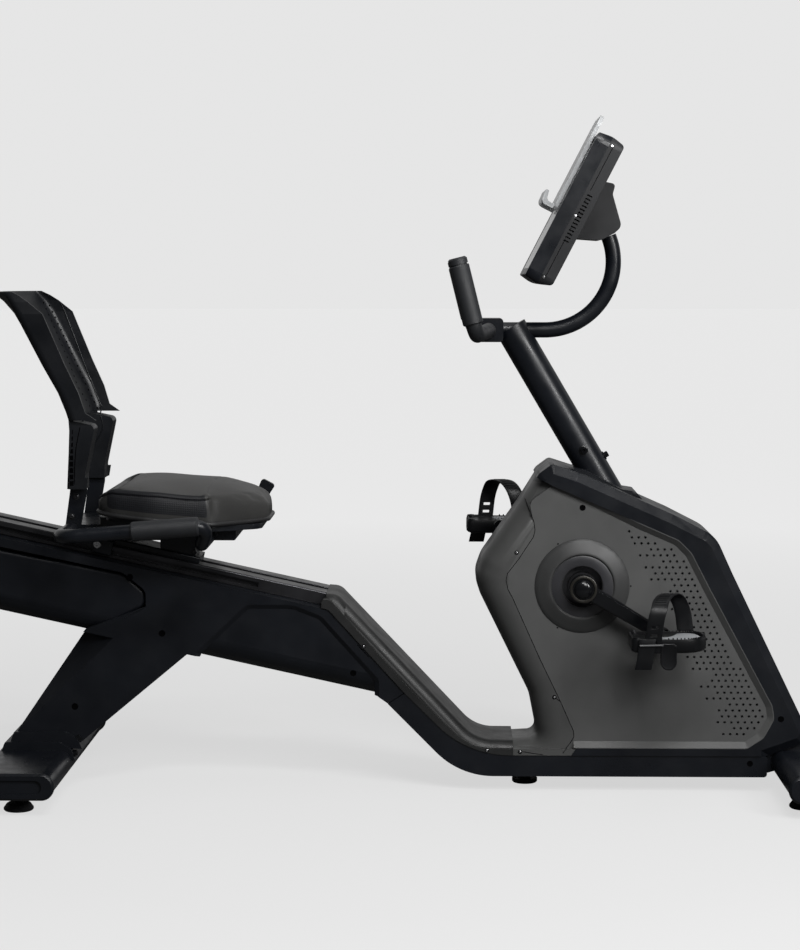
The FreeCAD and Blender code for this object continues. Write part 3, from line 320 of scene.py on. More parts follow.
# Round bead along a line of points
def sweep(bm, points, radius, segments=6, closed=False):
    count = len(points)
    rings = []
    side = Vector((0, 1, 0))
    for index, point in enumerate(points):
        if closed:
            tangent = points[(index + 1) % count] - points[index - 1]
        else:
            tangent = points[min(index + 1, count - 1)] - points[max(index - 1, 0)]
        tangent.normalize()
        side = side - tangent * side.dot(tangent)
        if side.length < 0.1:
            side = tangent.orthogonal()
        side.normalize()
        up = tangent.cross(side)
        rings.append([bm.verts.new(point + (side * x + up * y) * radius) for x, y in turns(segments)])
    if closed:
        rings.append(rings[0])
    skin(bm, rings, near=not closed, far=not closed)


# Smooth line through control points
def curveThrough(corners, steps, closed=False):
    corners = [Vector(corner) for corner in corners]
    last = len(corners) - 1
    points = []
    for index in range(last + closed):
        near = [index + shift for shift in (-1, 0, 1, 2)]
        a, b, c, d = (corners[spot % (last + 1) if closed else min(max(spot, 0), last)] for spot in near)
        for step in range(steps):
            t = step / steps
            points.append(0.5 * (2 * b + (c - a) * t + (2 * a - 5 * b + 4 * c - d) * t * t
                                 + (3 * b - a - 3 * c + d) * t ** 3))
    return points if closed else points + [corners[last]]


def rectangle(middle, along, across):
    return [middle - along - across, middle + along - across, middle + along + across, middle - along + across]


# Block with a bevelled top, on four base corners and raised along a direction
def stud(bm, base, rise, shrink):
    middle = sum(base, Vector()) / 4
    low = [bm.verts.new(corner) for corner in base]
    high = [bm.verts.new(middle + (corner - middle) * shrink + rise) for corner in base]
    bm.faces.new(high)
    bridge(bm, low, high)


# Nearest place that a ray meets on the named nodes, and the normal there
def castTo(names, origin, direction):
    origin = Vector(origin)
    hits = [nodes[name].ray_cast(origin, Vector(direction)) for name in names]
    hits = [(place, normal) for hit, place, normal, _ in hits if hit]
    return min(hits, key=lambda hit: (hit[0] - origin).length, default=None)


# The same from beside the bike; a name that ends in _ stands for the left or the right node
def fromSide(names, x, z, sign, away=0.3):
    side = "left" if sign > 0 else "right"
    names = [name + side if name.endswith("_") else name for name in names]
    return castTo(names, (x, sign * away, z), (0, -sign, 0))


# The places that were met, just clear of the surface
def raised(found, clearance=1e-4):
    return [place + normal * clearance for place, normal in filter(None, found)]


# Piece of the same turned form on both sides at every (x, z) spot, some with a radius that scales the profile
def turnedPairs(name, names, spots, profile, segments, *fit):
    def build(bm):
        for x, z, *radius in spots:
            scaled = [(run, share * radius[0]) for run, share in profile] if radius else profile
            for sign in (1, -1):
                found = fromSide(names, x, z, sign)
                if found:
                    lathe(bm, scaled, *found, segments)
    addPiece(name, build, *fit)


def mirrored(point, sign):
    return Vector((point[0], -sign * point[1], point[2]))


# Seat cushion: top panel, sewn border with a dark seam line, tucked crease with a dark line of painted shade,
# upright walls with a mesh patch, rolled edge
seat = {
    "corners": [(-0.554, 0.172, 0.064), (-0.444, 0.199, 0.12), (-0.334, 0.182, 0.03), (-0.266, 0.105, 0.05),
                (-0.238, 0.06, 0.05)],
    "cornerSteps": 12,
    "spacing": 0.0075,
    "under": [(-0.6, 0.532), (-0.334, 0.508), (-0.2, 0.505)],
    "rim": [(-0.554, 0.555), (-0.545, 0.561), (-0.525, 0.5675), (-0.43, 0.563), (-0.385, 0.5575),
            (-0.355, 0.5555), (-0.336, 0.5585), (-0.291, 0.5545), (-0.262, 0.551), (-0.236, 0.5465)],
    "crown": [(-0.554, 0.566), (-0.545, 0.5715), (-0.519, 0.5785), (-0.49, 0.582), (-0.458, 0.583),
              (-0.335, 0.5785), (-0.3, 0.569), (-0.268, 0.562), (-0.245, 0.557)],
    "crownPower": 2.4,
    "sewnUntil": (-0.331, 0.012),
    "fold": (-0.331, 0.0045, 0.008, 1.4),
    "rearBorder": (-0.485, 0.045, 0.75, 0.0062),
    # inset, share of the wall, lift: the base, then the walls of the sewn sides and of the plain nose
    "base": [(0.034, 0, 0.0015), (0.014, 0, 0), (0.0075, 0, 0.0005), (0.0058, 0, 0.004), (0.0052, 0, 0.01)],
    "sewn": [(0.0042, 0.35, 0), (0.0036, 0.55, 0), (0.0038, 0.74, 0), (0.0048, 0.89, 0), (0.0064, 0.965, 0),
             (0.0082, 1, 0), (0.0062, 1, 0.0022), (0.0062, 1, 0.0044), (0.0084, 1, 0.0069), (0.0118, 1, 0.0086),
             (0.0156, 1, 0.0093), (0.0177, 1, 0.008), (0.0198, 1, 0.0095)],
    "plain": [(0.005, 0.35, 0), (0.0054, 0.55, 0), (0.0061, 0.74, 0), (0.007, 0.87, 0), (0.0082, 0.95, 0),
              (0.0098, 1, 0.0008), (0.0112, 1, 0.0028), (0.0128, 1, 0.0048), (0.015, 1, 0.0066),
              (0.018, 1, 0.008), (0.0212, 1, 0.0088), (0.0234, 1, 0.0092), (0.0256, 1, 0.0095)],
    "top": [0.05, 0.11, 0.19, 0.29, 0.41, 0.55, 0.7, 0.86],
    "spine": (-0.47, -0.32),
    "across": 4,
    "baseRing": 4,
    "creaseRing": 10,
    "seamRing": 16,
    "darkLineRadius": 0.0008,
    "lip": 0.0044,
}
# Mesh patch of the walls: its rear and front, the front's lean about a height, its room below and above
patchFit = {"ends": (-0.528, -0.343), "lean": 0.15, "leanFrom": 0.53, "below": 0.006, "above": 0.001, "far": 0.02}
swell = {"cap": 0.003, "pressure": 4.0, "quality": 5, "stretch": 25, "bend": 2, "frames": 20}
vinyl = {
    "blend": 0.0006, "pitch": 0.004, "threads": (-0.5, 0.9), "bump": (0.6, 0.0004),
    "grain": (1300, 2.0), "mottle": (12, 4.0), "rough": (0.42, 0.6), "specular": 0.28,
    "plain": ((0.0225, 0.0223, 0.0217), (0.031, 0.0307, 0.0298)),
    "net": ((0.0003, 0.0003, 0.0004), (0.0062, 0.0068, 0.0092)),
}


# Height at x on a line of (x, z) points
def heightAt(table, x):
    for (xa, za), (xb, zb) in zip(table, table[1:]):
        if x <= xb:
            share = max(0.0, (x - xa) / (xb - xa))
            return za + (zb - za) * share
    return table[-1][1]


def eased(share):
    share = min(1.0, max(0.0, share))
    return share * share * (3 - 2 * share)


def inwardAt(loop, index):
    tangent = (loop[(index + 1) % len(loop)] - loop[index - 1]).normalized()
    return Vector((tangent.y, -tangent.x, 0))


# Rounded outline through (x, y, radius) corners and their mirror images, from the middle of the rear edge
def seatOutline():
    half = [Vector((x, y, 0)) for x, y, _ in seat["corners"]]
    radii = [corner[2] for corner in seat["corners"]]
    ring = half + [Vector((p.x, -p.y, 0)) for p in reversed(half)]
    radii += radii[::-1]
    steps = seat["cornerSteps"]
    line = [Vector((half[0].x, 0, 0))]
    for index, corner in enumerate(ring):
        before = (ring[index - 1] - corner).normalized()
        after = (ring[(index + 1) % len(ring)] - corner).normalized()
        spread = before.angle(after)
        reach = radii[index] / math.tan(spread / 2)
        middle = corner + (before + after).normalized() * radii[index] / math.sin(spread / 2)
        start, stop = corner + before * reach - middle, corner + after * reach - middle
        arc = [start.slerp(stop, step / steps).normalized() for step in range(steps + 1)]
        line += [middle + spoke * radii[index] for spoke in arc]
    line.append(line[0])
    runs = [0.0]
    for a, b in zip(line, line[1:]):
        runs.append(runs[-1] + (b - a).length)
    count = 2 * round(runs[-1] / seat["spacing"] / 2)
    points = []
    leg = 0
    for step in range(count):
        target = runs[-1] * step / count
        while runs[leg + 1] < target:
            leg += 1
        share = (target - runs[leg]) / max(runs[leg + 1] - runs[leg], 1e-9)
        points.append(line[leg].lerp(line[leg + 1], share))
    return points


def sewnShare(x):
    front, blend = seat["sewnUntil"]
    return eased((front - x) / blend + 0.5)


# Rings of the cushion from below its edge, up the walls and over the top
def seatRings(loop):
    rings = []
    foldX, foldDepth, foldWidth, foldGain = seat["fold"]
    borderX, borderRun, borderGain, borderInset = seat["rearBorder"]
    levels = [list(zip(*pair)) for pair in zip(seat["base"] + seat["sewn"], seat["base"] + seat["plain"])]
    for level, pairs in enumerate(levels):
        ring = []
        for index, point in enumerate(loop):
            sewn = sewnShare(point.x)
            inset, share, lift = (b + (a - b) * sewn for a, b in pairs)
            if level > seat["creaseRing"] + 2:
                wider = 1 + borderGain * eased((borderX - point.x) / borderRun)
                inset = borderInset + (inset - borderInset) * wider
            if share > 0.1:
                fold = foldDepth * math.exp(-((point.x - foldX) / foldWidth) ** 2)
                inset += fold * min(1.0, share * foldGain)
            spot = point + inwardAt(loop, index) * inset
            low, high = heightAt(seat["under"], spot.x), heightAt(seat["rim"], point.x)
            spot.z = low + (high - low) * share + lift
            ring.append(spot)
        rings.append(ring)
    border = rings[-1]
    for share in seat["top"]:
        ring = []
        for spot in border:
            middle = Vector((min(max(spot.x, seat["spine"][0]), seat["spine"][1]), 0, 0))
            inner = spot.lerp(middle, share)
            crown = max(heightAt(seat["crown"], inner.x), spot.z)
            inner.z = spot.z + (crown - spot.z) * (1 - (1 - share) ** seat["crownPower"])
            ring.append(inner)
        rings.append(ring)
    return rings


def attributeOf(tree, name):
    node = tree.nodes.new("ShaderNodeAttribute")
    node.attribute_name = name
    return node.outputs


# Vinyl with a fine grain; inside the patch it turns into a small-square mesh
def vinylMesh():
    material, tree, shader = newMaterial("vinylAndMesh")
    mask = ranged(tree, attributeOf(tree, "patch")["Fac"], 0, 1, -vinyl["blend"], vinyl["blend"])
    weave = parted(tree, attributeOf(tree, "weave")["Vector"])
    turns = 2 * math.pi / vinyl["pitch"]
    waves = [joined(tree, "SINE", joined(tree, "MULTIPLY", weave[axis], turns)) for axis in (0, 1)]
    threads = ranged(tree, joined(tree, "MAXIMUM", *waves), 0.0, 1.0, *vinyl["threads"])
    height = tree.nodes.new("ShaderNodeMix")
    tree.links.new(mask, height.inputs["Factor"])
    tree.links.new(noise(tree, *vinyl["grain"]), height.inputs["A"])
    tree.links.new(threads, height.inputs["B"])
    bumped(tree, shader, height.outputs["Result"], *vinyl["bump"])
    plain = tinted(tree, ranged(tree, noise(tree, *vinyl["mottle"]), 0, 1), *vinyl["plain"])
    net = tinted(tree, threads, *vinyl["net"])
    tree.links.new(tinted(tree, mask, plain, net), shader.inputs["Base Color"])
    tree.links.new(ranged(tree, mask, *vinyl["rough"], 0, 1), shader.inputs["Roughness"])
    tune(shader, {"Specular IOR Level": vinyl["specular"]})
    return material


# Swells a soft form with cloth under pressure: its seams hold, and no point moves past the cap
def inflate(obj):
    start = [vertex.co.copy() for vertex in obj.data.vertices]
    choose(obj)
    cloth = obj.modifiers.new("cloth", "CLOTH")
    settings = cloth.settings
    settings.use_pressure = True
    settings.uniform_pressure_force = swell["pressure"]
    settings.effector_weights.gravity = 0
    settings.quality = swell["quality"]
    settings.tension_stiffness = swell["stretch"]
    settings.compression_stiffness = swell["stretch"]
    settings.bending_stiffness = swell["bend"]
    settings.vertex_group_mass = "sewn"
    cloth.collision_settings.use_collision = False
    scene = bpy.context.scene
    for step in range(swell["frames"]):
        scene.frame_set(step + 1)
    bpy.ops.object.modifier_apply(modifier=cloth.name)
    scene.frame_set(1)
    for vertex, home in zip(obj.data.vertices, start):
        move = vertex.co - home
        if move.length > swell["cap"]:
            vertex.co = home + move * (swell["cap"] / move.length)


def makeCushion():
    loop = seatOutline()
    rings = seatRings(loop)
    count = len(loop)
    half = count // 2
    creaseAndSeamRings = (seat["creaseRing"], seat["seamRing"])

    def build(bm):
        grid = [[bm.verts.new(spot) for spot in ring] for ring in rings]
        skin(bm, grid)
        for row, parts in ((grid[0], 1), (grid[-1], seat["across"])):
            strips = [[row[0]] * (parts + 1)]
            for index in range(1, half):
                start, stop = row[index], row[count - index]
                middle = [bm.verts.new(start.co.lerp(stop.co, part / parts)) for part in range(1, parts)]
                strips.append([start, *middle, stop])
            strips.append([row[half]] * (parts + 1))
            for first, second in zip(strips, strips[1:]):
                for part in range(parts):
                    bm.faces.new(distinct((first[part], first[part + 1], second[part + 1], second[part])))

    mesh = meshFrom("seatCushion", build)
    obj = newObject("seatCushion", mesh)

    # Each point of the walls and the border knows its run round the seat and up the section, for the weave
    mesh.attributes.new("patch", "FLOAT", "POINT")
    mesh.attributes.new("weave", "FLOAT_VECTOR", "POINT")
    patch, weave = mesh.attributes["patch"], mesh.attributes["weave"]
    held = []
    heights = [[0.0] * count]
    for low, high in zip(rings, rings[1:]):
        heights.append([heights[-1][index] + (high[index] - low[index]).length for index in range(count)])
    rear, front = patchFit["ends"]
    for level, ring in enumerate(rings):
        for index, spot in enumerate(ring):
            number = level * count + index
            rise = heights[level][index]
            weave.data[number].vector = (index * seat["spacing"], rise, 0)
            lean = patchFit["lean"] * (spot.z - patchFit["leanFrom"])
            patch.data[number].value = min(
                spot.x - rear, front - lean - spot.x, rise - heights[seat["baseRing"]][index] - patchFit["below"],
                heights[seat["seamRing"]][index] - patchFit["above"] - rise, patchFit["far"])
            if level <= seat["baseRing"] or level in creaseAndSeamRings and sewnShare(loop[index].x) > 0.5:
                held.append(number)
    for number in range(len(rings) * count, len(mesh.vertices)):
        patch.data[number].value = -patchFit["far"]
    obj.vertex_groups.new(name="sewn").add(held, 1.0, "REPLACE")

    inflate(obj)
    choose(obj)
    subdivide = obj.modifiers.new("subdivide", "SUBSURF")
    subdivide.levels = 1
    bpy.ops.object.modifier_apply(modifier=subdivide.name)
    obj.data.materials.append(vinylMesh())
    for face in obj.data.polygons:
        face.use_smooth = True
    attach(obj, "seat")
    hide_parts("seat_cushion")

    def lip(bm):
        line = []
        for index, point in enumerate(loop):
            spot = point + inwardAt(loop, index) * seat["lip"]
            spot.z = heightAt(seat["under"], spot.x) + seat["lip"]
            line.append(spot)
        sweep(bm, line, seat["lip"], 10, closed=True)

    # Dark beads on the crease ring, painted shade of the tuck, and on the seam ring, its dark joint
    def creaseShadeAndSeamLines(bm):
        for level in creaseAndSeamRings:
            line = [index - half for index in range(count) if sewnShare(loop[index - half].x) > 0.6]
            sweep(bm, [rings[level][index] for index in line], seat["darkLineRadius"])

    for name, form, look in (("seatLip", lip, "seat_fabric"), ("seatCreaseShadeAndSeam", creaseShadeAndSeamLines, "shade_and_joint_black")):
        piece = addPiece(name, form, look, "seat", "seat_fabric", smooth=60)


makeCushion()
print("cushion made")


# Screws in the covers: wells painted as flat dark discs of shade on both sides, some with a bright rim, each
# seated on the cover behind it
covers = {
    "wells": [(0.343, 0.535, 0.0056), (0.714, 0.141, 0.0058), (0.658, 0.056, 0.0056), (-0.605, 0.159, 0.0062),
              (-0.44, 0.298, 0.0062), (-0.499, 0.404, 0.0058), (-0.083, 0.223, 0.0058)],
    "rimmed": [(0.221, 0.451), (0.293, 0.179), (0.229, 0.077), (0.167, 0.079), (-0.063, 0.275)],
    "rimmedRadius": 0.0036,
    "carriers": ["housing_rear", "housing_band", "step_cover", "low_beam", "housing_", "beam_cover_"],
    "well": [(-0.001, 1), (0.0003, 1), (0.00035, 0.92), (0.0001, 0.8), (0.0001, 0)],
    "head": [(0.0001, 0.002), (0.0007, 0.0019), (0.001, 0.0013), (0.001, 0.0008), (0.0004, 0.0007),
             (0.0004, 0)],
    "rim": [(-0.0005, 0.0042), (0.0005, 0.0041), (0.0005, 0.0037), (0.0002, 0.0035)],
}


def coverScrews():
    wells = covers["wells"] + [(x, z, covers["rimmedRadius"]) for x, z in covers["rimmed"]]
    for name, spots, profile, segments, look, slot in (
            ("screwWellShade", wells, covers["well"], 20, "shade_and_joint_black", "cover_black"),
            ("screwHeads", covers["rimmed"], covers["head"], 12, "bright_steel", "steel_dark"),
            ("screwRims", covers["rimmed"], covers["rim"], 18, "steel_dark", "steel_dark")):
        turnedPairs(name, covers["carriers"], spots, profile, segments, look, "frame", slot)


# Seams in the covers: a thin dark bead where two mouldings meet, laid along the surface on both sides
seams = {
    "lines": {
        "wrapSeam": [(0.2366, 0.5505), (0.2532, 0.508), (0.2551, 0.4925), (0.2522, 0.4805), (0.2249, 0.4385),
                     (0.2045, 0.412), (0.2018, 0.3984), (0.2053, 0.3824), (0.215, 0.3644), (0.2659, 0.2504),
                     (0.304, 0.172), (0.329, 0.115), (0.33, 0.104), (0.324, 0.094), (0.309, 0.075)],
        "beamSeam": [(-0.016, 0.168), (0.013, 0.187)],
        "tabSeam": [(0.229, 0.078), (0.272, 0.0715)],
        "clipSeam": [(-0.075, 0.278), (-0.054, 0.255)],
        "lugSeam": [(0.293, 0.179), (0.303, 0.172)],
    },
    "radius": 0.0006,
    "step": 0.004,
    "probe": 0.003,
    "clear": 0.0001,
}


def seamPoint(x, z, sign):
    shifts = (0, seams["probe"], -seams["probe"])
    found = [fromSide(covers["carriers"], x + shift, z, sign) for shift in shifts]
    place, normal = max(filter(None, found), key=lambda hit: abs(hit[0].y))
    return Vector((x, place.y, z)) + normal * seams["clear"]


def seamLines():
    def build(bm):
        for corners in seams["lines"].values():
            for sign in (1, -1):
                points = []
                for start, end in zip(corners, corners[1:]):
                    a, b = Vector((start[0], 0, start[1])), Vector((end[0], 0, end[1]))
                    count = max(2, round((b - a).length / seams["step"]))
                    points += [seamPoint(*a.lerp(b, index / count).xz, sign) for index in range(count)]
                points.append(seamPoint(*corners[-1], sign))
                sweep(bm, points, seams["radius"])
    addPiece("coverSeams", build, "shade_and_joint_black", "frame", "housing_grey", 60)


# Mast: a bolt on each side and a knob at the front, where rays from these origins meet it
mast = {
    "rays": [((0.347, -0.2, 0.638), (0, 1, 0)), ((0.347, 0.2, 0.638), (0, -1, 0)),
             ((0.5, 0, 0.691), (-0.86, 0, -0.5))],
    "bolt": [(-0.003, 0.0085), (0.0012, 0.0085), (0.0018, 0.0076), (0.0018, 0.0056), (0.0075, 0.0056),
             (0.0085, 0.0046), (0.0085, 0.003), (0.005, 0.0028), (0.005, 0)],
}


def mastBolts():
    def build(bm):
        for origin, direction in mast["rays"]:
            lathe(bm, mast["bolt"], *castTo(["mast"], origin, direction), 18)
    addPiece("mastBolts", build, "crank_steel", "frame")


# Crank: a domed hub cap in a metal ring, and a cap over each pedal eye
crank = {
    "hub": (0.343, 0.389),
    "length": 0.17,
    "angle": math.radians(-30.5),
    "hubFace": 0.132,
    "eyeFace": 0.128,
    "hubCap": [(-0.004, 0.0168), (0.0005, 0.0168), (0.003, 0.0155), (0.0052, 0.012), (0.0066, 0.007),
               (0.0071, 0)],
    "eyeCap": [(-0.001, 0.01), (0.0015, 0.01), (0.0022, 0.0088), (0.0022, 0.005), (0.0008, 0.0046),
               (0.0008, 0)],
    "ring": [(-0.003, 0.025), (0.0004, 0.025), (0.0009, 0.024), (0.0009, 0.0212), (0.0001, 0.0202)],
}


def pedalPlace(sign):
    angle = crank["angle"] + (0 if sign < 0 else math.pi)
    return Vector((crank["hub"][0] + crank["length"] * math.cos(angle), 0,
                   crank["hub"][1] + crank["length"] * math.sin(angle)))


def crankCaps():
    for side, sign in sides:
        hub = (crank["hub"][0], sign * crank["hubFace"], crank["hub"][1])
        eye = pedalPlace(sign)
        eye.y = sign * crank["eyeFace"]

        def caps(bm):
            lathe(bm, crank["hubCap"], hub, (0, sign, 0), 32)
            lathe(bm, crank["eyeCap"], eye, (0, sign, 0), 24)

        def ring(bm):
            lathe(bm, crank["ring"], hub, (0, sign, 0), 40)
        addPiece("crankCap_" + side, caps, "crank_steel", "crank")
        addPiece("crankRing_" + side, ring, "hub_ring", "crank", "steel_dark")


# Round cover about the crank: a darker flat ring at its centre, and small marks beside its seam
dish = {
    "probe": 0.048,
    "ring": [(-0.0008, 0.0385), (0.0006, 0.0389), (0.0008, 0.0397), (0.0008, 0.0564), (0.0004, 0.0572),
             (-0.0008, 0.0574)],
    "marks": (0, 120, 240),
    "markRadius": 0.0905,
    "mark": [(-0.0005, 0.0017), (0.0003, 0.0016), (0.0001, 0.0012), (0.0001, 0)],
}


def dishRings():
    x, z = crank["hub"]
    for side, sign in sides:
        place, _ = fromSide(["dish_"], x, z + dish["probe"], sign)

        def build(bm):
            lathe(bm, dish["ring"], (x, place.y, z), (0, sign, 0), 64)
        addPiece("dishRing_" + side, build, "ring_dark", "frame", "housing_grey")


def dishNotches():
    angles = [math.radians(degrees) for degrees in dish["marks"]]
    spots = [Vector(crank["hub"]) + Vector((math.cos(angle), math.sin(angle))) * dish["markRadius"]
             for angle in angles]
    turnedPairs("dishNotches", covers["carriers"], spots, dish["mark"], 12, "shade_and_joint_black", "frame", "housing_grey")


coverScrews()
seamLines()
mastBolts()
crankCaps()
dishRings()
dishNotches()
print("screws, seams and crank dressed")


# Foot straps: a moulded band with slots on the outer run, ribs over the top, a buckle and a tail with a flap
strap = {
    "path": [(-0.03, -0.23755, -0.014), (-0.0275, -0.2395, 0.012), (-0.0235, -0.2425, 0.045),
             (-0.018, -0.2385, 0.066), (-0.012, -0.222, 0.0795), (-0.001, -0.198, 0.0855),
             (0.013, -0.171, 0.0835), (0.025, -0.155, 0.0705), (0.034, -0.147, 0.047), (0.039, -0.148, 0.0128)],
    "pathSteps": 7,
    "tail": [(-0.038, -0.2402, 0.012), (-0.04, -0.2402, -0.006), (-0.042, -0.2405, -0.024),
             (-0.046, -0.2432, -0.043)],
    "columns": [-0.015, -0.0062, 0.0062, 0.015],
    "slots": (5, 8, 11),
    "thick": 0.0026,
    "edge": 0.0007,
    "ribs": range(24, 50, 2),
    "rib": {"seat": 0.0013, "half": (0.0105, 0.0011), "high": 0.0007, "top": 0.85},
    "buckle": [(-0.052, -0.2432, 0.0005), (-0.01, -0.2422, 0.0015)],
    "buckleRadius": 0.0021,
    "buckleShares": (0, 0.04, 0.5, 0.96, 1),
}


def strapBand(side, sign):
    spindle = pedalPlace(sign)
    body = "pedal_" + side
    path = curveThrough(strap["path"], strap["pathSteps"])
    tail = [Vector(point) for point in strap["tail"]]
    for name, line, slots in (("strapBand_", path, strap["slots"]), ("strapTail_", tail, ())):
        def band(bm):
            rows = []
            for point in line:
                spots = [point + Vector((offset, 0, 0)) for offset in strap["columns"]]
                rows.append([bm.verts.new(spindle + mirrored(spot, sign)) for spot in spots])
            for index, (low, high) in enumerate(zip(rows, rows[1:])):
                for column in range(3):
                    if column != 1 or index not in slots:
                        bm.faces.new((low[column], low[column + 1], high[column + 1], high[column]))

        obj = addPiece(name + side, band, "strap_rubber", body, smooth=0)
        choose(obj)
        solid = obj.modifiers.new("solid", "SOLIDIFY")
        solid.thickness = strap["thick"]
        solid.offset = 0
        bpy.ops.object.modifier_apply(modifier=solid.name)
        bevel = obj.modifiers.new("bevel", "BEVEL")
        bevel.width = strap["edge"]
        bevel.segments = 2
        bevel.angle_limit = math.radians(40)
        bpy.ops.object.modifier_apply(modifier=bevel.name)
        bpy.ops.object.shade_smooth_by_angle(angle=math.radians(50))
        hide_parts("strap_" + side)

    def ribs(bm):
        form = strap["rib"]
        for index in strap["ribs"]:
            tangent = (path[index + 1] - path[index - 1]).normalized()
            out = Vector((0, -tangent.z, tangent.y)).normalized()
            if out.z < 0:
                out = -out
            base = rectangle(path[index] + out * form["seat"], Vector((form["half"][0], 0, 0)),
                             tangent * form["half"][1])
            stud(bm, [spindle + mirrored(corner, sign) for corner in base], mirrored(out * form["high"], sign),
                 form["top"])

    def buckle(bm):
        start, end = (spindle + mirrored(point, sign) for point in strap["buckle"])
        sweep(bm, [start.lerp(end, share) for share in strap["buckleShares"]], strap["buckleRadius"], 10)

    addPiece("strapRibs_" + side, ribs, "strap_rubber", body, smooth=30)
    addPiece("strapBuckle_" + side, buckle, "tread_grey", body, "pedal_plastic", 50)


# Pedals: a rounded body with a toothed rim, a recessed light toe plate and a hanging weight
pedal = {
    "outline": [(-0.066, -0.186), (-0.066, -0.224), (-0.061, -0.2345), (-0.048, -0.236), (0.000, -0.236),
                (0.036, -0.2345), (0.056, -0.225), (0.069, -0.206), (0.0715, -0.187), (0.066, -0.164),
                (0.053, -0.149), (0.034, -0.1435), (0.000, -0.142), (-0.048, -0.142), (-0.061, -0.1445),
                (-0.066, -0.155)],
    "middle": (0.0025, -0.189),
    # height and share of the outline
    "levels": [(-0.0145, 0.9), (-0.013, 0.955), (-0.01, 1.0), (0.0075, 1.0), (0.0105, 0.985),
               (0.0112, 0.96), (0.0108, 0.925), (0.0078, 0.915)],
    "plate": [(-0.012, -0.2285), (0.028, -0.2285), (0.047, -0.22), (0.059, -0.201), (0.06, -0.184),
              (0.053, -0.163), (0.038, -0.154), (0.023, -0.16), (0.015, -0.18), (0.004, -0.198),
              (-0.012, -0.205)],
    "plateMiddle": (0.034, -0.195),
    "plateLevels": [(0.0076, 1.0), (0.0094, 0.99), (0.01, 0.95)],
    "steps": 5,
}
tooth = {"count": 76, "steps": 20, "inset": 0.962, "gap": (-0.05, -0.01), "half": 0.0015, "deeper": 1.1,
         "foot": 0.0108, "high": 0.0028, "top": 0.55}
weight = {"wide": 0.0145, "top": 0.0035, "corner": (0.005, 0.004), "low": -0.03, "near": -0.2365, "arc": 12,
          "levels": [(0.003, 1.0), (-0.0024, 1.0), (-0.0034, 0.93), (-0.0026, 0.8)]}


def pedalBody(side, sign):
    spindle = pedalPlace(sign)

    def placed(bm, spots):
        return [bm.verts.new(spindle + mirrored(spot, sign)) for spot in spots]

    def ringsOf(bm, corners, middle, levels):
        line = curveThrough([(*corner, 0) for corner in corners], pedal["steps"], closed=True)
        middle = Vector((*middle, 0))
        return [placed(bm, [middle + (point - middle) * share + Vector((0, 0, height)) for point in line])
                for height, share in levels]

    def shell(bm):
        skin(bm, ringsOf(bm, pedal["outline"], pedal["middle"], pedal["levels"]), near=True, far=True)

    def plate(bm):
        skin(bm, ringsOf(bm, pedal["plate"], pedal["plateMiddle"], pedal["plateLevels"]), far=True)

    def teeth(bm):
        line = curveThrough([(*corner, 0) for corner in pedal["outline"]], tooth["steps"], closed=True)
        middle = Vector((*pedal["middle"], 0))
        rear, front = tooth["gap"]
        for index in range(tooth["count"]):
            start = index * len(line) // tooth["count"]
            spot = middle + (line[start] - middle) * tooth["inset"]
            if rear < spot.x < front:
                continue
            run = (line[(start + 2) % len(line)] - line[start]).normalized() * tooth["half"]
            base = rectangle(spot, run, Vector((-run.y, run.x, 0)) * tooth["deeper"])
            foot = Vector((0, 0, tooth["foot"]))
            stud(bm, [spindle + mirrored(corner + foot, sign) for corner in base],
                 Vector((0, 0, tooth["high"])), tooth["top"])

    def hanging(bm):
        wide, top, low = weight["wide"], weight["top"], weight["low"]
        run, drop = weight["corner"]
        line = [(-wide, top - drop), (-wide + run, top), (wide - run, top), (wide, top - drop)]
        for step in range(weight["arc"] + 1):
            angle = -math.pi * step / weight["arc"]
            line.append((wide * math.cos(angle), low + wide * math.sin(angle)))
        middle = (top + low) / 2
        rings = [placed(bm, [(x * share, weight["near"] + out, middle + (z - middle) * share) for x, z in line])
                 for out, share in weight["levels"]]
        skin(bm, rings, near=True, far=True)

    for name, build, look, smooth in (
            ("pedalBody_", shell, "pedal_plastic", 40), ("pedalTeeth_", teeth, "pedal_plastic", 30),
            ("toePlate_", plate, "toe_grey", 30), ("pedalWeight_", hanging, "pedal_plastic", 30)):
        piece = addPiece(name + side, build, look, "pedal_" + side, "pedal_plastic", smooth)
        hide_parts("pedal_" + side)


for side, sign in sides:
    strapBand(side, sign)
    pedalBody(side, sign)
print("pedals dressed")


# Backrest: two staggered columns of small holes painted as dark discs of shade, a raised piping line on each
# wing, and bracket bolts
back = {
    "holes": 18,
    "lowHole": (-0.5925, 0.706),
    "highHole": (-0.686, 0.905),
    "stagger": (-0.0105, 0.0055),
    "hole": [(-0.0006, 0.0019), (0.00035, 0.0019), (0.00025, 0.0015), (0.0001, 0)],
    "piping": [(-0.672, 0.925), (-0.661, 0.904), (-0.622, 0.802), (-0.5815, 0.7), (-0.5745, 0.68),
               (-0.5765, 0.664), (-0.586, 0.647), (-0.599, 0.632)],
    "pipingRadius": 0.0013,
    "pipingClear": 0.0002,
    "bolts": [(-0.593, 0.557), (-0.602, 0.52)],
    "bolt": [(-0.0005, 0.0062), (0.0008, 0.0062), (0.0008, 0.0046), (0.0026, 0.0044), (0.0036, 0.0032),
             (0.0036, 0.002), (0.0018, 0.0018), (0.0018, 0)],
}


def backHoleShade():
    def build(bm):
        for index in range(back["holes"]):
            share = index / (back["holes"] - 1)
            x, z = (low + (high - low) * share for low, high in zip(back["lowHole"], back["highHole"]))
            for column in range(2):
                spot = (x + back["stagger"][0] * column, 0, z + back["stagger"][1] * column)
                for sign in (1, -1):
                    found = castTo(["back_shell"], spot, (0, sign, 0))
                    if found:
                        # Dark discs stand for the holes: painted shade of their insides
                        lathe(bm, back["hole"], *found, 8)
    addPiece("backHoleShade", build, "shade_and_joint_black", "seat", "back_plastic")


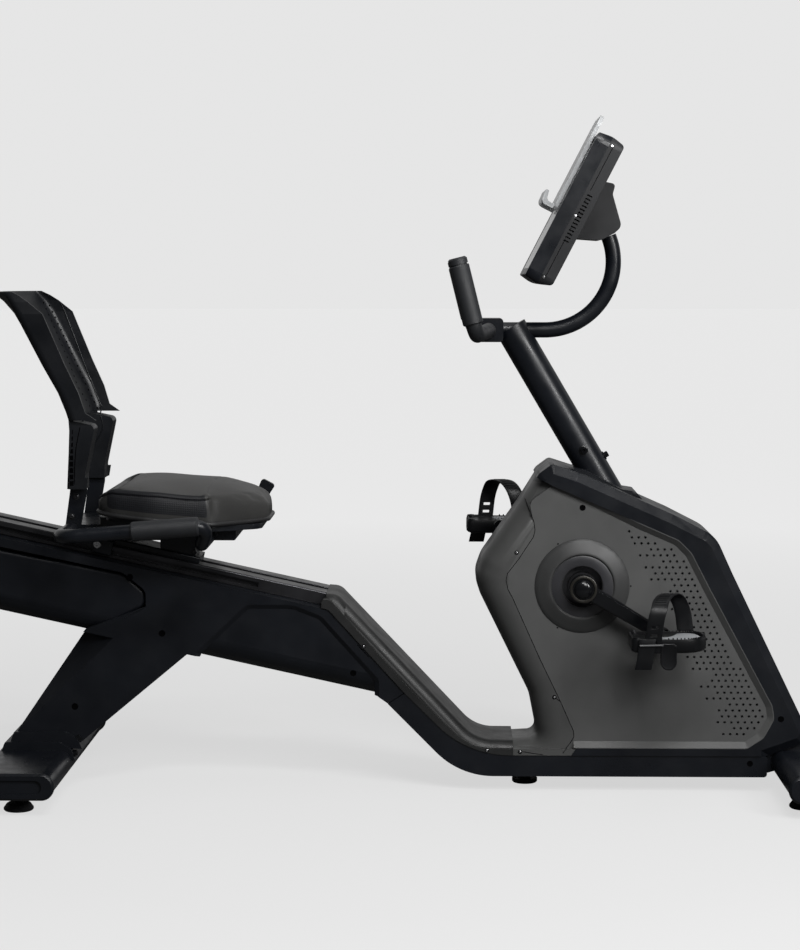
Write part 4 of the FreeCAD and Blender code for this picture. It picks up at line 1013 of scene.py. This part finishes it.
def backPiping():
    line = curveThrough([(x, 0, z) for x, z in back["piping"]], 8)
    for side, sign in reversed(sides):
        points = raised((castTo(["back_shell"], spot, (0, sign, 0)) for spot in line), back["pipingClear"])
        addPiece("backPiping_" + side, lambda bm: sweep(bm, points, back["pipingRadius"]), "back_plastic", "seat",
                 smooth=60)


def postBolts():
    turnedPairs("postBolts", ["back_posts"], back["bolts"], back["bolt"], 14, "steel_dark", "seat")


# Sleeves over the posts: rib cells behind, painted as dark studs of shade, as x, lowest z, pitch and count, and a
# divider line before them
sleeve = {
    "cells": (-0.5968, 0.584, 0.0118, 9),
    "half": (0.0034, 0.0044),
    "high": 0.0006,
    "top": 0.88,
    "divider": [(-0.58, 0.687), (-0.5875, 0.65), (-0.5905, 0.615), (-0.5918, 0.583)],
    "dividerRadius": 0.0008,
}


def sleeveRibs():
    def cells(bm):
        x, lowest, pitch, count = sleeve["cells"]
        wide, high = sleeve["half"]
        for index in range(count):
            for sign in (1, -1):
                corners = [fromSide(["back_shell"], x + a * wide, lowest + pitch * index + b * high, sign)
                           for a, b in ((-1, -1), (1, -1), (1, 1), (-1, 1))]
                if all(corners):
                    rise = Vector((0, sign * sleeve["high"], 0))
                    stud(bm, [place for place, _ in corners], rise, sleeve["top"])

    def dividers(bm):
        line = curveThrough([(x, 0, z) for x, z in sleeve["divider"]], 6)
        for sign in (1, -1):
            found = (fromSide(["back_shell"], spot.x, spot.z, sign) for spot in line)
            sweep(bm, raised(found), sleeve["dividerRadius"])

    addPiece("sleeveCellShade", cells, "shade_and_joint_black", "seat", "back_plastic")
    addPiece("sleeveDividers", dividers, "shade_and_joint_black", "seat", "back_plastic", 60)


backHoleShade()
backPiping()
postBolts()
sleeveRibs()
print("backrest dressed")


# Rear foot: bolts on the front of its steps, near both ends
foot = {
    "spots": [(0.09, 0.098), (0.09, 0.07)],
    "from": -0.45,
    "bolt": [(-0.002, 0.00667), (0.0012, 0.00667), (0.0016, 0.0058), (0.0062, 0.00551), (0.007, 0.00464),
             (0.007, 0.00261), (0.004, 0.00232), (0.004, 0)],
}


def footBolts():
    def build(bm):
        for y, z in foot["spots"]:
            for sign in (1, -1):
                found = castTo(["rear_foot"], (foot["from"], sign * y, z), (-1, 0, 0))
                if found:
                    lathe(bm, foot["bolt"], *found, 12)
    addPiece("footBolts", build, "crank_steel", "frame")


# Seat carriage: hexagon bolts and a roller on each side over the rail, each with its radius
carriage = {
    "carriers": ["seat_carriage", "seat_base", "seat_rail"],
    "bolts": [(-0.508, 0.466, 0.005), (-0.384, 0.445, 0.005), (-0.336, 0.487, 0.0042)],
    "bolt": [(-0.001, 1), (0.0022, 1), (0.003, 0.8), (0.003, 0.45), (0.0012, 0.4), (0.0012, 0)],
    "rollers": [(-0.563, 0.462, 0.0075)],
    "roller": [(-0.001, 1), (0.004, 1), (0.0052, 0.85), (0.0052, 0.4), (0.003, 0.3), (0.003, 0)],
}


def carriageParts():
    carriers = carriage["carriers"]
    turnedPairs("carriageBolts", carriers, carriage["bolts"], carriage["bolt"], 6, "steel_dark", "seat")
    turnedPairs("carriageRollers", carriers, carriage["rollers"], carriage["roller"], 20, "bright_steel", "seat",
                "steel_dark")


footBolts()
carriageParts()
print("rear foot and carriage dressed")


# Console: small seam screws and a dark bead on the split line, placed up its leaning side from a corner
console = {
    "carriers": ["console_back", "console_front"],
    "lean": math.radians(27.3),
    "corner": (0.232, 0.965),
    "screws": [(0.032, 0.012), (0.032, 0.135), (0.032, 0.276)],
    "screw": [(-0.001, 0.0026), (0.0003, 0.0026), (0.0006, 0.0018), (0.0006, 0.0009), (0.0002, 0)],
    "seam": {"across": 0.0345, "from": 0.012, "long": 0.266, "steps": 24, "radius": 0.0006},
}


def consolePoint(across, up):
    lean = console["lean"]
    return (console["corner"][0] + across * math.cos(lean) + up * math.sin(lean),
            console["corner"][1] - across * math.sin(lean) + up * math.cos(lean))


def consoleTrim():
    spots = [consolePoint(*screw) for screw in console["screws"]]
    turnedPairs("consoleScrews", console["carriers"], spots, console["screw"], 10, "bright_steel", "frame",
                "steel_dark")

    def seam(bm):
        form = console["seam"]
        shares = [index / form["steps"] for index in range(form["steps"] + 1)]
        line = [consolePoint(form["across"], form["from"] + form["long"] * share) for share in shares]
        for sign in (1, -1):
            found = (fromSide(console["carriers"], x, z, sign) for x, z in line)
            sweep(bm, raised(found), form["radius"])
    addPiece("consoleSeam", seam, "shade_and_joint_black", "frame", "cover_black", 60)


consoleTrim()
print("console dressed")


# Stage, lights and camera: a wide pale floor that eyes see at the tone of the sky, fading into it far out
studio = {
    "tone": 0.79,
    "ambient": 0.1,
    "glossShare": 0.5,
    "glossFrom": (0.1, 0.4),
    "reach": 60,
    "floor": {"Base Color": (0.13, 0.13, 0.13, 1), "Roughness": 0.9, "Specular IOR Level": 0.1,
              "Emission Color": (1, 1, 1, 1)},
    "glow": (0.64, 0.777),
    "fade": (0.9, 4.5),
    # name, place, aim, size, power
    "lamps": [
        ("overhead", (0.6, -0.2, 3.2), (0, 0, 0.6), (2.2, 1.2), 12),
        ("keyHigh", (0.5, -2.3, 3.0), (0, 0, 0.4), (1.4, 0.45), 62),
        ("frontHigh", (1.2, -2.8, 2.1), (0.3, 0, 0.7), (0.9, 0.7), 36),
        ("sideRight", (2.3, -2.3, 1.9), (0.35, 0, 0.9), (0.5, 1.5), 60),
    ],
    "camera": {"place": (0.0894, -4.2, 0.9646), "turn": (84.876, 0, 1.182), "sensor": 36, "lens": 100.35},
}


# What reaches the eye, straight or through clear plastic
def seenBy(tree):
    path = tree.nodes.new("ShaderNodeLightPath").outputs
    return path, joined(tree, "MAXIMUM", path["Is Camera Ray"], path["Is Transmission Ray"])


def makeStage():
    reach = studio["reach"]
    mesh = bpy.data.meshes.new("floor")
    corners = [(-reach, -reach, 0), (reach, -reach, 0), (reach, reach, 0), (-reach, reach, 0)]
    mesh.from_pydata(corners, [], [(0, 1, 2, 3)])
    floor = newObject("floor", mesh)
    material, tree, shader = newMaterial("paleFloor")
    tune(shader, studio["floor"])
    away = tree.nodes.new("ShaderNodeVectorMath")
    away.operation = "LENGTH"
    tree.links.new(tree.nodes.new("ShaderNodeTexCoord").outputs["Object"], away.inputs[0])
    glow = ranged(tree, away.outputs["Value"], *studio["glow"], *studio["fade"])
    tree.links.new(joined(tree, "MULTIPLY", glow, seenBy(tree)[1]), shader.inputs["Emission Strength"])
    mesh.materials.append(material)


# Sky: plain for the eye, a soft share in gloss on the far side, dim for everything else
def makeWorld():
    world = bpy.data.worlds.new("studio")
    bpy.context.scene.world = world
    world.use_nodes = True
    tree = world.node_tree
    background = tree.nodes["Background"]
    tune(background, {"Color": (1, 1, 1, 1)})
    depth = parted(tree, tree.nodes.new("ShaderNodeTexCoord").outputs["Generated"])["Y"]
    behind = ranged(tree, depth, 0, studio["glossShare"], *studio["glossFrom"])
    path, seen = seenBy(tree)
    seen = joined(tree, "MAXIMUM", seen, joined(tree, "MULTIPLY", path["Is Glossy Ray"], behind))
    strength = ranged(tree, seen, studio["ambient"], studio["tone"], 0, 1.0)
    tree.links.new(strength, background.inputs["Strength"])


def areaLight(name, place, aim, size, power):
    data = bpy.data.lights.new(name, "AREA")
    data.shape = "RECTANGLE"
    data.size, data.size_y = size
    data.energy = power
    light = newObject(name, data)
    light.location = place
    light.rotation_euler = (Vector(aim) - Vector(place)).to_track_quat("-Z", "Y").to_euler()


def makeCamera(place, turn, sensor, lens):
    data = bpy.data.cameras.new("camera")
    data.sensor_width = sensor
    data.sensor_fit = "HORIZONTAL"
    data.lens = lens
    camera = newObject("camera", data)
    camera.location = place
    camera.rotation_euler = [math.radians(degrees) for degrees in turn]
    bpy.context.scene.camera = camera


makeStage()
makeWorld()
for lamp in studio["lamps"]:
    areaLight(*lamp)
makeCamera(**studio["camera"])
bpy.context.scene.view_settings.view_transform = "Standard"
print("stage, lights and camera made")
